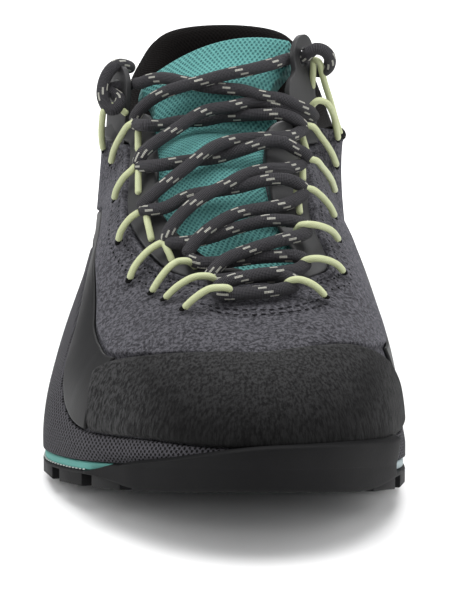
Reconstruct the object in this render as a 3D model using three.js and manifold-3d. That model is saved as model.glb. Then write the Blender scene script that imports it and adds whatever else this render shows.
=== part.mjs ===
// A low-cut approach shoe for the right foot, in millimetres: a hollow upper of knitted mesh with a suede
// layer on it, rand, side band, toe cap, eyestays, tongue, collar pad, insole, midsole, lugged outsole, a
// lace and its cord loops. +Z is up, the toe points along -Y and the inner side of the foot is at +X.
// The shoe stands on Z = 0.
import * as THREE from "three";
import { mergeVertices } from "three/addons/utils/BufferGeometryUtils.js";
import Module from "manifold-3d";

const wasm = await Module();
wasm.setup();

// Driving sizes of the shoe
const LENGTH = 270;
const BALL_WIDTH = 101;
const HEEL_HEIGHT = 95;
const INSTEP_HEIGHT = 88.5;
const TOE_HEIGHT = 58;
const TOE_SPRING = 21;
const SOLE_HEEL = 23;
const SOLE_BALL = 7.2;
const TONGUE_TOP = 112;

// Thicknesses and clearances
const GAP = 0.3;
const UPPER_WALL = 1.4;
const SUEDE = 1.3;
const BAND = 0.8;
const TOE_CAP = 2.0;
const RAND = 1.7;
const BUMPER = 1.8;
const EYESTAY = 1.2;
const COLLAR_PAD = 5;
const TONGUE_PAD = 4;
const INSOLE = 4;
const OUTSOLE_BALL = 4.6;
const OUTSOLE_HEEL = 8;
const LUG_DEPTH = 3.5;
const MIDSOLE_STEP = 0.6;

// One object per row, from the names of the columns
const table = (columns, rows) =>
  rows.map((row) => Object.fromEntries(columns.map((name, i) => [name, row[i]])));

// Sections round the shoe, from the heel to the toe. The sole edge is at along (share of the length) and out
// (share of the ball width), and the top line at topAlong, topOut and up, a share of the height of its part.
// roll is the angle through which the wall has turned at the top, square its fullness, belly and waist its
// bulge and hollow in millimetres per hundred of length.
const SECTION = ["along", "out", "topAlong", "topOut", "height", "up", "roll", "square", "belly", "waist"];
const H = HEEL_HEIGHT;
const I = INSTEP_HEIGHT;
const T = TOE_HEIGHT;
const LATERAL = table(SECTION, [
  [0.0, 0.0, 0.03, 0.0, H, 1.0, 25, 2.0, 1.5, 1.3],
  [0.026, 0.188, 0.055, 0.185, H, 0.985, 25, 2.0, 1.4, 1.0],
  [0.093, 0.317, 0.115, 0.264, H, 0.91, 28, 2.0, 1.2, 0.4],
  [0.211, 0.351, 0.226, 0.315, H, 0.805, 30, 2.0, 0.9, 0.0],
  [0.337, 0.356, 0.344, 0.33, H, 0.815, 34, 2.0, 0.8, 0.0],
  [0.456, 0.391, 0.44, 0.34, I, 0.95, 42, 2.0, 0.3, 0.0],
  [0.515, 0.425, 0.503, 0.225, I, 1.0, 62, 2.0, 0.4, 0.0],
  [0.567, 0.45, 0.59, 0.195, I, 0.955, 68, 1.95, 0.2, 0.0],
  [0.663, 0.49, 0.672, 0.175, I, 0.835, 74, 1.9, 0.1, 0.0],
  [0.752, 0.49, 0.735, 0.06, T, 1.09, 80, 2.05, 0.1, 0.0],
  [0.819, 0.421, 0.76, -0.099, T, 1.035, 88, 2.35, 0.3, 0.0],
  [0.878, 0.322, 0.795, -0.099, T, 0.995, 88, 2.5, 0.5, 0.0],
  [0.93, 0.218, 0.83, -0.099, T, 0.96, 86, 2.5, 0.4, 0.0],
  [0.974, 0.079, 0.857, -0.099, T, 0.925, 82, 2.4, 0.3, 0.0],
  [1.0, -0.099, 0.874, -0.099, T, 0.9, 78, 2.3, 0.3, 0.0],
]);
const MEDIAL = table(SECTION, [
  [0.0, 0.0, 0.03, 0.0, H, 1.0, 25, 2.0, 1.5, 1.3],
  [0.026, 0.183, 0.055, 0.185, H, 0.985, 25, 2.0, 1.4, 1.0],
  [0.093, 0.312, 0.115, 0.262, H, 0.91, 28, 2.0, 1.2, 0.4],
  [0.211, 0.337, 0.226, 0.32, H, 0.805, 30, 2.0, 1.1, 0.0],
  [0.337, 0.33, 0.344, 0.335, H, 0.815, 32, 2.0, 1.3, 0.0],
  [0.456, 0.345, 0.44, 0.348, I, 0.95, 36, 2.3, 1.7, 0.0],
  [0.515, 0.375, 0.503, 0.175, I, 1.0, 60, 2.8, 2.0, 0.0],
  [0.567, 0.42, 0.59, 0.13, I, 0.97, 66, 3.0, 1.7, 0.0],
  [0.663, 0.473, 0.672, 0.15, I, 0.85, 75, 2.9, 0.9, 0.0],
  [0.752, 0.51, 0.735, 0.225, T, 1.09, 82, 2.7, 0.1, 0.0],
  [0.819, 0.511, 0.76, 0.099, T, 1.035, 88, 2.75, 0.0, 0.0],
  [0.878, 0.478, 0.795, 0.099, T, 0.995, 88, 2.8, 0.5, 0.0],
  [0.935, 0.396, 0.83, 0.099, T, 0.96, 86, 2.6, 0.4, 0.0],
  [0.978, 0.277, 0.857, 0.099, T, 0.925, 82, 2.5, 0.3, 0.0],
  [1.0, 0.099, 0.874, 0.099, T, 0.9, 78, 2.3, 0.3, 0.0],
]);
const RIDGE_ROW = 10;
const ROWS = LATERAL.length - 1;

const forward = (along) => LENGTH * (0.5 - along);
const alongOf = (y) => 0.5 - y / LENGTH;
const smooth = (x) => {
  const t = Math.min(1, Math.max(0, x));
  return t * t * (3 - 2 * t);
};

// Height of the tread: flat under heel and forefoot, rising to the toe, a little at the heel and in the arch
const SPRING_START = 0.655;
const SPRING_POWER = 1.6;
const HEEL_LIFT = 2.5;
const HEEL_LIFT_END = 0.06;
const ARCH_RISE = 2.5;
const ARCH_START = 0.3;
const ARCH_END = 0.52;
function ground(y) {
  const toe = Math.max(0, (alongOf(y) - SPRING_START) / (1 - SPRING_START));
  const heel = Math.max(0, 1 - alongOf(y) / HEEL_LIFT_END);
  return TOE_SPRING * toe ** SPRING_POWER + HEEL_LIFT * heel ** 2;
}
function tread(y) {
  const arch = (alongOf(y) - ARCH_START) / (ARCH_END - ARCH_START);
  return ground(y) + (arch > 0 && arch < 1 ? ARCH_RISE * Math.sin(Math.PI * arch) ** 2 : 0);
}

// The sole is thick from the heel to the waist and thins to the ball
const HEEL_END = 0.2;
const BALL_START = 0.66;
const heelShare = (y) => 1 - smooth((alongOf(y) - HEEL_END) / (BALL_START - HEEL_END));
const soleTop = (y) => ground(y) + SOLE_BALL + (SOLE_HEEL - SOLE_BALL) * heelShare(y);
const outsoleTop = (y) => ground(y) + OUTSOLE_BALL + (OUTSOLE_HEEL - OUTSOLE_BALL) * heelShare(y);

// Closed curves through the rows: heel, lateral side, toe, medial side
const around = (point) =>
  new THREE.CatmullRomCurve3(
    [
      ...LATERAL.map((row) => point(row, -1)),
      ...MEDIAL.slice(1, -1).reverse().map((row) => point(row, 1)),
    ],
    true,
    "catmullrom",
    0.5,
  );
const edgeCurve = around((r, side) => new THREE.Vector3(side * r.out * BALL_WIDTH, forward(r.along), 0));
const topCurve = around(
  (r, side) => new THREE.Vector3(side * r.topOut * BALL_WIDTH, forward(r.topAlong), r.height * r.up),
);
const turnCurve = around((r) => new THREE.Vector3(r.roll, r.square, 0));
const bulgeCurve = around((r) => new THREE.Vector3(r.belly, r.waist, 0).multiplyScalar(LENGTH / 100));

// A place round the shoe is u, from 0 at the heel over the lateral side, 0.5 at the toe and the medial side
const wrap = (u) => ((u % 1) + 1) % 1;
const rowAt = (u) => 2 * ROWS * (wrap(u) <= 0.5 ? wrap(u) : 1 - wrap(u));
const lateralAt = (row) => row / (2 * ROWS);
const medialAt = (row) => 1 - lateralAt(row);
const isRidge = (u) => rowAt(u) >= RIDGE_ROW - 1e-6;

// The toe bumper of the outsole, from row to row, and its height above the tread at each row
const BUMPER_LATERAL = 11.7;
const BUMPER_MEDIAL = 10.9;
const BUMPER_RAMP = 1.2;
const BUMPER_HEIGHTS = table(["row", "lateral", "medial"], [
  [10.5, 5, 14.2],
  [11.5, 6.2, 14.5],
  [12.5, 8, 14.5],
  [13.25, 10.2, 14],
  [14, 12.9, 12.9],
]);
const bumperStart = (u) => (wrap(u) <= 0.5 ? BUMPER_LATERAL : BUMPER_MEDIAL);
const bumperShare = (u) => smooth((rowAt(u) - bumperStart(u) + BUMPER_RAMP) / BUMPER_RAMP);

// A table read at a row by straight lines between its rows
function readAt(rows, row, column) {
  const next = rows.findIndex((r) => r.row >= row);
  if (next <= 0) return rows[next < 0 ? rows.length - 1 : 0][column];
  const [a, b] = [rows[next - 1], rows[next]];
  return a[column] + ((b[column] - a[column]) * (row - a.row)) / (b.row - a.row);
}
const readSide = (rows, u) => readAt(rows, rowAt(u), wrap(u) <= 0.5 ? "lateral" : "medial");

// The sole's edge in plan, moved outwards by a distance
const EDGE_STEP = 1e-3;
function outwards(u) {
  const ahead = edgeCurve.getPoint(wrap(u + EDGE_STEP));
  const behind = edgeCurve.getPoint(wrap(u - EDGE_STEP));
  const t = ahead.sub(behind).normalize();
  return new THREE.Vector3(t.y, -t.x, 0);
}
const soleEdge = (u, outBy = 0) => edgeCurve.getPoint(wrap(u)).addScaledVector(outwards(u), outBy);

// The upper's foot line stands inside the sole's edge by what lies over it there
const FOOT_GAP = 0.7;
const RAND_DEPTH = GAP + RAND;
const BUMPER_INNER = GAP + TOE_CAP + GAP;
const BUMPER_DEPTH = BUMPER_INNER + BUMPER;
const footInset = (u) => RAND_DEPTH + bumperShare(u) * (BUMPER_DEPTH - RAND_DEPTH);
function footPoint(u) {
  const p = soleEdge(u, -footInset(u));
  p.z = soleTop(p.y) + FOOT_GAP;
  return p;
}
function topPoint(u) {
  const p = topCurve.getPoint(wrap(u));
  return isRidge(u) ? p.add(topCurve.getPoint(wrap(1 - u))).multiplyScalar(0.5) : p;
}

// One rib of the last, from the foot line to the top line
const BELLY_AT = 0.3;
const WAIST_FROM = 0.4;
const RIB_STEPS = 60;
function ribLine(u) {
  const foot = footPoint(u);
  const top = topPoint(u);
  const turn = turnCurve.getPoint(wrap(u));
  const bulge = bulgeCurve.getPoint(wrap(u));
  const out = outwards(u);
  const roll = (Math.min(90, turn.x) * Math.PI) / 180;
  const raised = (x) => Math.max(0, x) ** (2 / turn.y);
  const line = [];
  for (let i = 0; i <= RIB_STEPS; i++) {
    const angle = (i / RIB_STEPS) * roll;
    const inward = (1 - raised(Math.cos(angle))) / (1 - raised(Math.cos(roll)));
    const up = raised(Math.sin(angle)) / raised(Math.sin(roll));
    const belly = up < BELLY_AT
      ? Math.sin((Math.PI / 2) * (up / BELLY_AT))
      : Math.cos((Math.PI / 2) * ((up - BELLY_AT) / (1 - BELLY_AT))) ** 2;
    const waist = Math.sin(Math.PI * Math.max(0, (up - WAIST_FROM) / (1 - WAIST_FROM))) ** 2;
    const p = foot.clone().lerp(top, inward);
    p.z = foot.z + (top.z - foot.z) * up;
    line.push(p.addScaledVector(out, bulge.x * belly - bulge.y * waist));
  }
  return evenly(line, RIB_STEPS);
}

// count + 1 points at even distances along a polyline
function evenly(line, count) {
  const reach = [0];
  for (let i = 1; i < line.length; i++) reach.push(reach[i - 1] + line[i].distanceTo(line[i - 1]));
  const total = reach[reach.length - 1];
  const points = [];
  for (let k = 0, i = 0; k <= count; k++) {
    const wanted = (total * k) / count;
    while (i < line.length - 2 && reach[i + 1] < wanted) i++;
    const span = reach[i + 1] - reach[i];
    points.push(line[i].clone().lerp(line[i + 1], span ? Math.min(1, (wanted - reach[i]) / span) : 0));
  }
  return points;
}

// The last's surface at u round the shoe and t up the rib, straight on past the top line where t is over 1
const ribs = new Map();
function rib(u) {
  const key = Math.round(wrap(u) * 1e6);
  if (!ribs.has(key)) ribs.set(key, ribLine(key / 1e6));
  return ribs.get(key);
}
function surface(u, t) {
  const points = rib(u);
  const place = t * RIB_STEPS;
  const i = Math.min(RIB_STEPS - 1, Math.max(0, Math.floor(place)));
  return points[i].clone().lerp(points[i + 1], place - i);
}
const NORMAL_STEP = 0.004;
const NORMAL_REACH = 0.03;
function plainNormal(u, t) {
  const at = Math.min(1 - NORMAL_REACH, Math.max(NORMAL_REACH, t));
  const round = surface(u + NORMAL_STEP, at).sub(surface(u - NORMAL_STEP, at));
  const up = surface(u, at + NORMAL_REACH).sub(surface(u, at - NORMAL_REACH));
  return round.cross(up).normalize();
}
function normal(u, t) {
  const n = plainNormal(u, t);
  if (t <= 0) return n.setZ(0).normalize();
  return isRidge(u) && t >= 1 ? n.add(plainNormal(1 - u, t)).normalize() : n;
}
const offset = (u, t, by) => surface(u, t).addScaledVector(normal(u, t), by);

// The place up a rib where it reaches a height
function placeAt(u, z) {
  const points = rib(u);
  const i = points.findIndex((p) => p.z >= z);
  if (i <= 0) return i < 0 ? 1 : 0;
  return (i - 1 + (z - points[i - 1].z) / (points[i].z - points[i - 1].z)) / RIB_STEPS;
}

// A closed solid from points and faces, with points at one place merged
const MERGE = 1e-4;
function quad(faces, a, b, c, d) {
  faces.push(a, b, c, a, c, d);
}
function solidFrom(points, faces) {
  const geometry = new THREE.BufferGeometry();
  geometry.setAttribute("position", new THREE.Float32BufferAttribute(points.flatMap((p) => p.toArray()), 3));
  geometry.setIndex(faces);
  return solidOf(geometry);
}
function solidOf(geometry) {
  const plain = geometry.index ? geometry.toNonIndexed() : geometry.clone();
  plain.deleteAttribute("normal");
  plain.deleteAttribute("uv");
  const merged = mergeVertices(plain, MERGE);
  return new wasm.Manifold(
    new wasm.Mesh({
      numProp: 3,
      vertProperties: merged.getAttribute("position").array,
      triVerts: new Uint32Array(merged.index.array),
    }),
  );
}
function geometryOf(solid) {
  const mesh = solid.getMesh();
  const geometry = new THREE.BufferGeometry();
  const places = new Float32Array(mesh.numVert * 3);
  for (let i = 0; i < mesh.numVert; i++)
    for (let k = 0; k < 3; k++) places[3 * i + k] = mesh.vertProperties[i * mesh.numProp + k];
  geometry.setAttribute("position", new THREE.BufferAttribute(places, 3));
  geometry.setIndex(new THREE.BufferAttribute(new Uint32Array(mesh.triVerts), 1));
  geometry.computeVertexNormals();
  return geometry;
}

// A layer over the last, all round or from one u to another. Each level has a place up the rib and how far
// its outer face stands out there; inner is how far the inner face stands out. Across the ridge of the vamp
// the layer's two sides are one where it reaches the top line. All layers share the columns they lie over.
const COLUMNS = 56;
const SNAP = 1e-6;
function layer({ from = 0, to = 1, levels, inner, skirt }) {
  const closed = to - from >= 1;
  const places = [from];
  for (let j = Math.ceil(from * COLUMNS + SNAP); j < to * COLUMNS - SNAP; j++) places.push(j / COLUMNS);
  if (!closed) places.push(to);
  const count = places.length;
  const columns = closed ? count : count - 1;
  const uAt = (j) => places[j % count];
  const points = [];
  for (const skin of ["outer", "inner"])
    levels.forEach((level, i) => {
      for (let j = 0; j < count; j++) {
        const u = uAt(j);
        const p = offset(u, level.t(u), skin === "outer" ? level.outer(u) : inner);
        points.push(skirt && i === 0 ? p.setZ(skirt(p.y)) : p);
      }
    });
  const end = levels.length - 1;
  const at = (skin, i, j) => (skin * levels.length + i) * count + (closed ? (j + count) % count : j);
  const faces = [];
  const onRidge = (j) => closed && levels[end].t(uAt(j)) >= 1 && isRidge(uAt(j));
  for (let j = 0; j < columns; j++) {
    for (let i = 0; i < end; i++) {
      quad(faces, at(0, i, j), at(0, i, j + 1), at(0, i + 1, j + 1), at(0, i + 1, j));
      quad(faces, at(1, i, j), at(1, i + 1, j), at(1, i + 1, j + 1), at(1, i, j + 1));
    }
    quad(faces, at(1, 0, j), at(1, 0, j + 1), at(0, 0, j + 1), at(0, 0, j));
    if (!(onRidge(j) && onRidge(j + 1)))
      quad(faces, at(0, end, j), at(0, end, j + 1), at(1, end, j + 1), at(1, end, j));
  }
  if (!closed)
    for (let i = 0; i < end; i++) {
      quad(faces, at(1, i, 0), at(0, i, 0), at(0, i + 1, 0), at(1, i + 1, 0));
      quad(faces, at(0, i, columns), at(1, i, columns), at(1, i + 1, columns), at(0, i + 1, columns));
    }
  return solidFrom(points, withoutFlat(points, faces));
}
// Levels of one thickness from low to high
function between(low, high, rows, outer) {
  const levels = [];
  for (let i = 0; i <= rows; i++)
    levels.push({ t: (u) => low(u) + ((high(u) - low(u)) * i) / rows, outer: () => outer });
  return levels;
}
// Faces with two corners at one place are left out
function withoutFlat(points, faces) {
  const kept = [];
  for (let i = 0; i < faces.length; i += 3) {
    const [a, b, c] = [points[faces[i]], points[faces[i + 1]], points[faces[i + 2]]];
    if (a.distanceTo(b) > MERGE && b.distanceTo(c) > MERGE && c.distanceTo(a) > MERGE)
      kept.push(faces[i], faces[i + 1], faces[i + 2]);
  }
  return kept;
}

// A solid through rings of the same count, each going round like u, with ends closed from side to side
function stack(rings) {
  const count = rings[0].length;
  const at = (k, j) => k * count + ((j + count) % count);
  const faces = [];
  for (let k = 0; k < rings.length - 1; k++)
    for (let j = 0; j < count; j++) quad(faces, at(k, j), at(k, j + 1), at(k + 1, j + 1), at(k + 1, j));
  const end = rings.length - 1;
  for (let j = 0; j < count / 2; j++) {
    quad(faces, at(0, j + 1), at(0, j), at(0, count - j), at(0, count - j - 1));
    quad(faces, at(end, j), at(end, j + 1), at(end, count - j - 1), at(end, count - j));
  }
  const points = rings.flat();
  return solidFrom(points, withoutFlat(points, faces));
}
const SOLE_COLUMNS = 56;
function soleRing(inset, height) {
  const ring = [];
  for (let j = 0; j < SOLE_COLUMNS; j++) {
    const p = soleEdge(j / SOLE_COLUMNS, -inset(j / SOLE_COLUMNS));
    ring.push(p.setZ(height(p.y)));
  }
  return ring;
}

// Panel lines over the last, as shares of the rib's length from the foot line, at rows from heel to toe
const LINE = ["row", "lateral", "medial"];
const RAND_TOP = table(LINE, [
  [0, 0.2, 0.2],
  [3, 0.22, 0.2],
  [4, 0.3, 0.26],
  [5.5, 0.46, 0.38],
  [7.1, 0.54, 0.42],
  [8, 0.52, 0.38],
  [8.6, 0.42, 0.28],
  [9.5, 0.22, 0.14],
  [10, 0.155, 0.1],
  [11.1, 0.095, 0.09],
  [12.2, 0.09, 0.07],
  [14, 0.05, 0.05],
]);
const SUEDE_LOW = table(LINE, [
  [0, 0.6, 0.6],
  [3, 0.62, 0.58],
  [6, 0.66, 0.58],
  [8.1, 0.68, 0.56],
  [8.65, 0.62, 0.53],
  [9.35, 0.5, 0.48],
  [9.9, 0.42, 0.43],
  [10.5, 0.4, 0.46],
  [11.35, 0.48, 0.55],
  [12.2, 0.58, 0.63],
  [13.2, 0.72, 0.72],
  [14, 0.773, 0.773],
]);
const SUEDE_TOP = table(LINE, [
  [0, 0.97, 0.97],
  [4.8, 0.97, 0.97],
  [5.6, 0.92, 0.91],
  [7, 0.88, 0.83],
  [8.5, 0.88, 0.87],
  [9.3, 0.87, 0.88],
  [9.9, 0.82, 0.83],
  [10.5, 0.88, 0.92],
  [11, 1, 1],
]);
const CAP_TOP = table(LINE, [
  [9.6, 0.2, 0.2],
  [9.9, 0.22, 0.36],
  [10.5, 0.37, 0.45],
  [11, 0.434, 0.504],
  [11.35, 0.474, 0.544],
  [12.2, 0.574, 0.624],
  [13.2, 0.714, 0.714],
  [14, 0.767, 0.767],
]);
const EYESTAY_EDGE = table(LINE, [
  [5, 1, 1],
  [5.5, 1.04, 1.02],
  [6, 1.05, 1.02],
  [6.5, 1.035, 1.02],
  [7.5, 1.035, 1.0],
  [8, 1.015, 1.01],
  [8.5, 1.03, 1.04],
  [9, 1.05, 1.02],
  [9.5, 1.05, 1.0],
  [9.9, 1, 1],
]);
const LINE_GAP = 0.006;
const RAND_FULL = 0.4;
const CAP_LATERAL_ROW = 10.5;
const CAP_MEDIAL_ROW = 9.7;
const CAP_ROW_GAP = 0.06;

// The frame's origin is on the floor under the middle of the whole shoe, a little off the sole's middle
const ORIGIN = [0.91, 1.05, 0];
const pieces = new THREE.Group();
function add(name, solid, color, roughness) {
  const material = new THREE.MeshStandardMaterial({ color, roughness, metalness: 0 });
  const mesh = new THREE.Mesh(geometryOf(solid.translate(ORIGIN.map((v) => -v))), material);
  mesh.name = name;
  pieces.add(mesh);
}

// The upper: one hollow wall with the suede as a step in it, whose foot is one layer's gap long
const suedeLow = (u) => readSide(SUEDE_LOW, u);
const suedeHigh = (u) => readSide(SUEDE_TOP, u);
const randTop = (u) => readSide(RAND_TOP, u);
const ridgeHeight = (u) => (suedeHigh(u) >= 1 && isRidge(u) ? SUEDE : 0);
const randMiddle = (u) => randTop(u) * RAND_FULL;
add("upper", layer({
  inner: -UPPER_WALL,
  levels: [
    { t: () => 0, outer: () => 0 },
    { t: randMiddle, outer: () => 0 },
    ...between(randTop, (u) => suedeLow(u) - LINE_GAP, 3, 0),
    ...between(suedeLow, suedeHigh, 4, SUEDE),
    { t: (u) => Math.min(1, suedeHigh(u) + LINE_GAP), outer: ridgeHeight },
    { t: () => 1, outer: ridgeHeight },
  ],
}), 0x4a4b52, 0.9);

// The rand of open mesh round the foot line, the side band over it and the toe cap
add("rand", layer({
  inner: GAP,
  levels: [
    { t: () => 0, outer: () => RAND_DEPTH },
    { t: randMiddle, outer: () => RAND_DEPTH },
    { t: randTop, outer: () => GAP + BAND },
  ],
}), 0x4c4c4f, 0.9);
add("side_band", layer({
  from: medialAt(CAP_MEDIAL_ROW - CAP_ROW_GAP) - 1, to: lateralAt(CAP_LATERAL_ROW - CAP_ROW_GAP),
  inner: GAP, levels: between((u) => randTop(u) + LINE_GAP, (u) => suedeLow(u) - 2 * LINE_GAP, 3, GAP + BAND),
}), 0x434345, 0.5);
add("toe_cap", layer({
  from: lateralAt(CAP_LATERAL_ROW), to: medialAt(CAP_MEDIAL_ROW),
  inner: GAP, levels: between((u) => randTop(u) + LINE_GAP, (u) => readSide(CAP_TOP, u), 3, GAP + TOE_CAP),
}), 0x2c2c2e, 0.75);

// The outsole: a slab with lugs under it and a bumper in front of the toe
const LUG_ROOT = 0.5;
const TOE_SLAB_START = 0.86;
const TOE_SLAB_END = 0.95;
const EDGE_LUGS = 32;
const EDGE_LUG_SHARE = 0.74;
const EDGE_LUG_REACH = 12;
const STUD_RADIUS = 5.6;
const STUD_SIDES = 6;
const STUD_SINK = 0.4;
const toeShare = (y) => smooth((alongOf(y) - TOE_SLAB_START) / (TOE_SLAB_END - TOE_SLAB_START));
const lugDepth = (y) => LUG_DEPTH * (1 - toeShare(y));
const slabBottom = (y) => tread(y) + lugDepth(y);
function block(outline, low) {
  return stack([
    outline.map((p) => p.clone().setZ(low(p.y))),
    outline.map((p) => p.clone().setZ(slabBottom(p.y) + LUG_ROOT)),
  ]);
}
function edgeLugs() {
  const lugs = [];
  for (let i = 0; i < EDGE_LUGS; i++) {
    const at = (share) => edgeCurve.getUtoTmapping((i + 0.5 + (share - 0.5) * EDGE_LUG_SHARE) / EDGE_LUGS);
    const outer = [at(0), at(0.5), at(1)].map((u) => soleEdge(u, 0));
    const inner = [at(1), at(0)].map((u) => soleEdge(u, -EDGE_LUG_REACH));
    const along = alongOf(outer[1].y);
    const inArch = along > ARCH_START + 0.04 && along < ARCH_END - 0.04;
    if (along < TOE_SLAB_END && !inArch) lugs.push(block([...outer, ...inner], tread));
  }
  return lugs;
}
const STUDS = table(["along", "x"], [
  [0.09, 0], [0.17, -0.11], [0.17, 0.11], [0.26, 0],
  [0.52, -0.14], [0.53, 0.1], [0.58, -0.02], [0.63, -0.18], [0.63, 0.16],
  [0.69, -0.04], [0.69, 0.25], [0.75, -0.2], [0.75, 0.12], [0.81, 0],
  [0.81, 0.27], [0.87, 0.14],
]);
function studs() {
  return STUDS.map(({ along, x }) => {
    const outline = [];
    for (let i = 0; i < STUD_SIDES; i++) {
      const angle = (2 * Math.PI * (i + 0.5)) / STUD_SIDES;
      const reach = new THREE.Vector3(Math.cos(angle), Math.sin(angle), 0).multiplyScalar(STUD_RADIUS);
      outline.push(reach.add(new THREE.Vector3(x * BALL_WIDTH, forward(along), 0)));
    }
    return block(outline, tread);
  });
}
function bumper() {
  const high = (u) => placeAt(u, ground(soleEdge(u).y) + readSide(BUMPER_HEIGHTS, u));
  return layer({
    from: lateralAt(BUMPER_LATERAL), to: medialAt(BUMPER_MEDIAL),
    inner: BUMPER_INNER, levels: between(() => 0, high, 2, BUMPER_DEPTH),
    skirt: (y) => outsoleTop(y) - LUG_ROOT,
  });
}
function outsole() {
  const slab = stack([soleRing(() => 0, slabBottom), soleRing(() => 0, outsoleTop)]);
  return [bumper(), ...edgeLugs(), ...studs()].reduce((sole, piece) => sole.add(piece), slab);
}
add("outsole", outsole(), 0x2f2f33, 0.7);

// The midsole, and the insole inside the upper's foot line
const INSOLE_INSET = UPPER_WALL + 2 * GAP;
const midsoleInset = (u) => MIDSOLE_STEP + bumperShare(u) * (BUMPER + GAP - MIDSOLE_STEP);
const insoleInset = (u) => footInset(u) + INSOLE_INSET;
add("midsole", stack([
  soleRing(midsoleInset, (y) => outsoleTop(y) + GAP),
  soleRing(midsoleInset, soleTop),
]), 0x79b3a9, 0.8);
add("insole", stack([
  soleRing(insoleInset, (y) => soleTop(y) + GAP),
  soleRing(insoleInset, (y) => soleTop(y) + GAP + INSOLE),
]), 0x232325, 0.9);

// The padded lining inside the collar
const COLLAR_ROW = 5.1;
const COLLAR_LOW = 0.72;
const COLLAR_OUTER = -UPPER_WALL - 2 * GAP;
add("collar", layer({
  from: medialAt(COLLAR_ROW) - 1, to: lateralAt(COLLAR_ROW),
  inner: COLLAR_OUTER - COLLAR_PAD, levels: between(() => COLLAR_LOW, () => 1, 3, COLLAR_OUTER),
}), 0x1e1b1c, 0.95);

// The eyestays: strips inside the suede's throat edge, each with an ear for the top eyelet above the collar.
// An ear's outline is in its own plane, across (towards the toe) and up from its foot on the top line.
const EYESTAY_ROWS = { lateral: 5, medial: 5.5, end: 10 };
const EYESTAY_INNER = 0.5;
const EYESTAY_OUTER = EYESTAY_INNER + EYESTAY;
const EAR_ACROSS = [0.48, -0.88, 0];
const EAR_LEAN = [0.05, 0.22, 1];
const EAR_WIDTH = 12;
const EAR_LIFT = 0.5;
const EYELET_RADIUS = 2.7;
const EYELET_SIDES = 10;
const EARS = {
  lateral: { row: 5.4, height: 18.5, eyelet: 11, lobe: 0 },
  medial: { row: 5.62, height: 27, eyelet: 20.5, lobe: 4 },
};
const LOBE_HEIGHT = [6, 16];
function earFrame(u, side) {
  const mirror = new THREE.Vector3(-side, 1, 1);
  const across = new THREE.Vector3(...EAR_ACROSS).multiply(mirror).normalize();
  const lean = new THREE.Vector3(...EAR_LEAN).multiply(mirror).normalize();
  const face = across.clone().cross(lean).normalize();
  const foot = offset(u, 1, EYESTAY_INNER).addScaledVector(face, side > 0 ? -EYESTAY : 0);
  return new THREE.Matrix4().makeBasis(across, lean, face).setPosition(foot);
}
function ear(u, side, { height, eyelet, lobe }) {
  const half = EAR_WIDTH / 2;
  const shape = new THREE.Shape();
  shape.moveTo(-half, EAR_LIFT);
  shape.lineTo(half, EAR_LIFT);
  if (lobe) {
    shape.lineTo(half + lobe, LOBE_HEIGHT[0]);
    shape.lineTo(half + lobe, LOBE_HEIGHT[1] - lobe / 2);
    shape.lineTo(half + lobe / 2, LOBE_HEIGHT[1]);
    shape.lineTo(half, LOBE_HEIGHT[1]);
  }
  shape.lineTo(half, height - half);
  shape.absarc(0, height - half, half, 0, Math.PI);
  shape.lineTo(-half, EAR_LIFT);
  const hole = new THREE.Path();
  hole.absarc(0, eyelet, EYELET_RADIUS, 0, 2 * Math.PI, true);
  shape.holes.push(hole);
  const plate = new THREE.ExtrudeGeometry(shape, { depth: EYESTAY, bevelEnabled: false, curveSegments: 5 });
  return solidOf(plate.applyMatrix4(earFrame(u, side)));
}
function eyestay(name) {
  const side = name === "lateral" ? -1 : 1;
  const at = side < 0 ? lateralAt : medialAt;
  const ends = [at(EYESTAY_ROWS[name]), at(EYESTAY_ROWS.end)];
  const low = (u) => suedeHigh(u) + 2 * LINE_GAP;
  const high = (u) => readSide(EYESTAY_EDGE, u);
  const strip = layer({
    from: Math.min(...ends), to: Math.max(...ends),
    inner: EYESTAY_INNER,
    levels: between(low, high, 2, EYESTAY_OUTER),
  });
  return strip.add(ear(at(EARS[name].row), side, EARS[name]));
}
add("eyestay_lateral", eyestay("lateral"), 0x3d3d40, 0.55);
add("eyestay_medial", eyestay("medial"), 0x3d3d40, 0.55);

// The tongue: sections across the throat under the upper's edges, then free sections up to its top edge.
// left and right are the ends of a free section's front face and rise is how far its middle stands out.
const TONGUE_CLEAR = UPPER_WALL + GAP + 0.9;
const TONGUE_SIDE = 1.6;
const TONGUE_STATIONS = table(["row", "rise"], [
  [10.4, 0], [9.7, 0.6], [9, 2], [8.2, 4], [7.4, 5.5], [6.7, 6], [6.1, 6.5],
]);
const TONGUE_FREE = table(["left", "right", "rise"], [
  [[-19.5, 2, 0.832], [11.5, -1.5, 0.872], 6.5],
  [[-23.5, 9, 0.862], [17, 9, 0.935], 7.5],
  [[-22.5, 13, 0.898], [18.5, 15, 0.985], 8.5],
]);
const TONGUE_WRAP = new THREE.Vector3(-1.5, 5, -3.5);
const TONGUE_SPLITS = 6;
function tongueSection(ends, normals, rise, wraps) {
  const section = [];
  const bend = normals[0].clone().add(normals[1]).normalize();
  const push = (front, n, thick) => section.push({ front, back: front.clone().addScaledVector(n, -thick) });
  push(wraps[0], normals[0], TONGUE_SIDE);
  for (let i = 0; i <= TONGUE_SPLITS; i++) {
    const s = i / TONGUE_SPLITS;
    const hump = 4 * s * (1 - s);
    const front = ends[0].clone().lerp(ends[1], s).addScaledVector(bend, rise * hump);
    const n = normals[0].clone().lerp(normals[1], s).normalize();
    push(front, n, TONGUE_SIDE + (TONGUE_PAD - TONGUE_SIDE) * Math.sqrt(hump));
  }
  push(wraps[1], normals[1], TONGUE_SIDE);
  return section;
}
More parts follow.
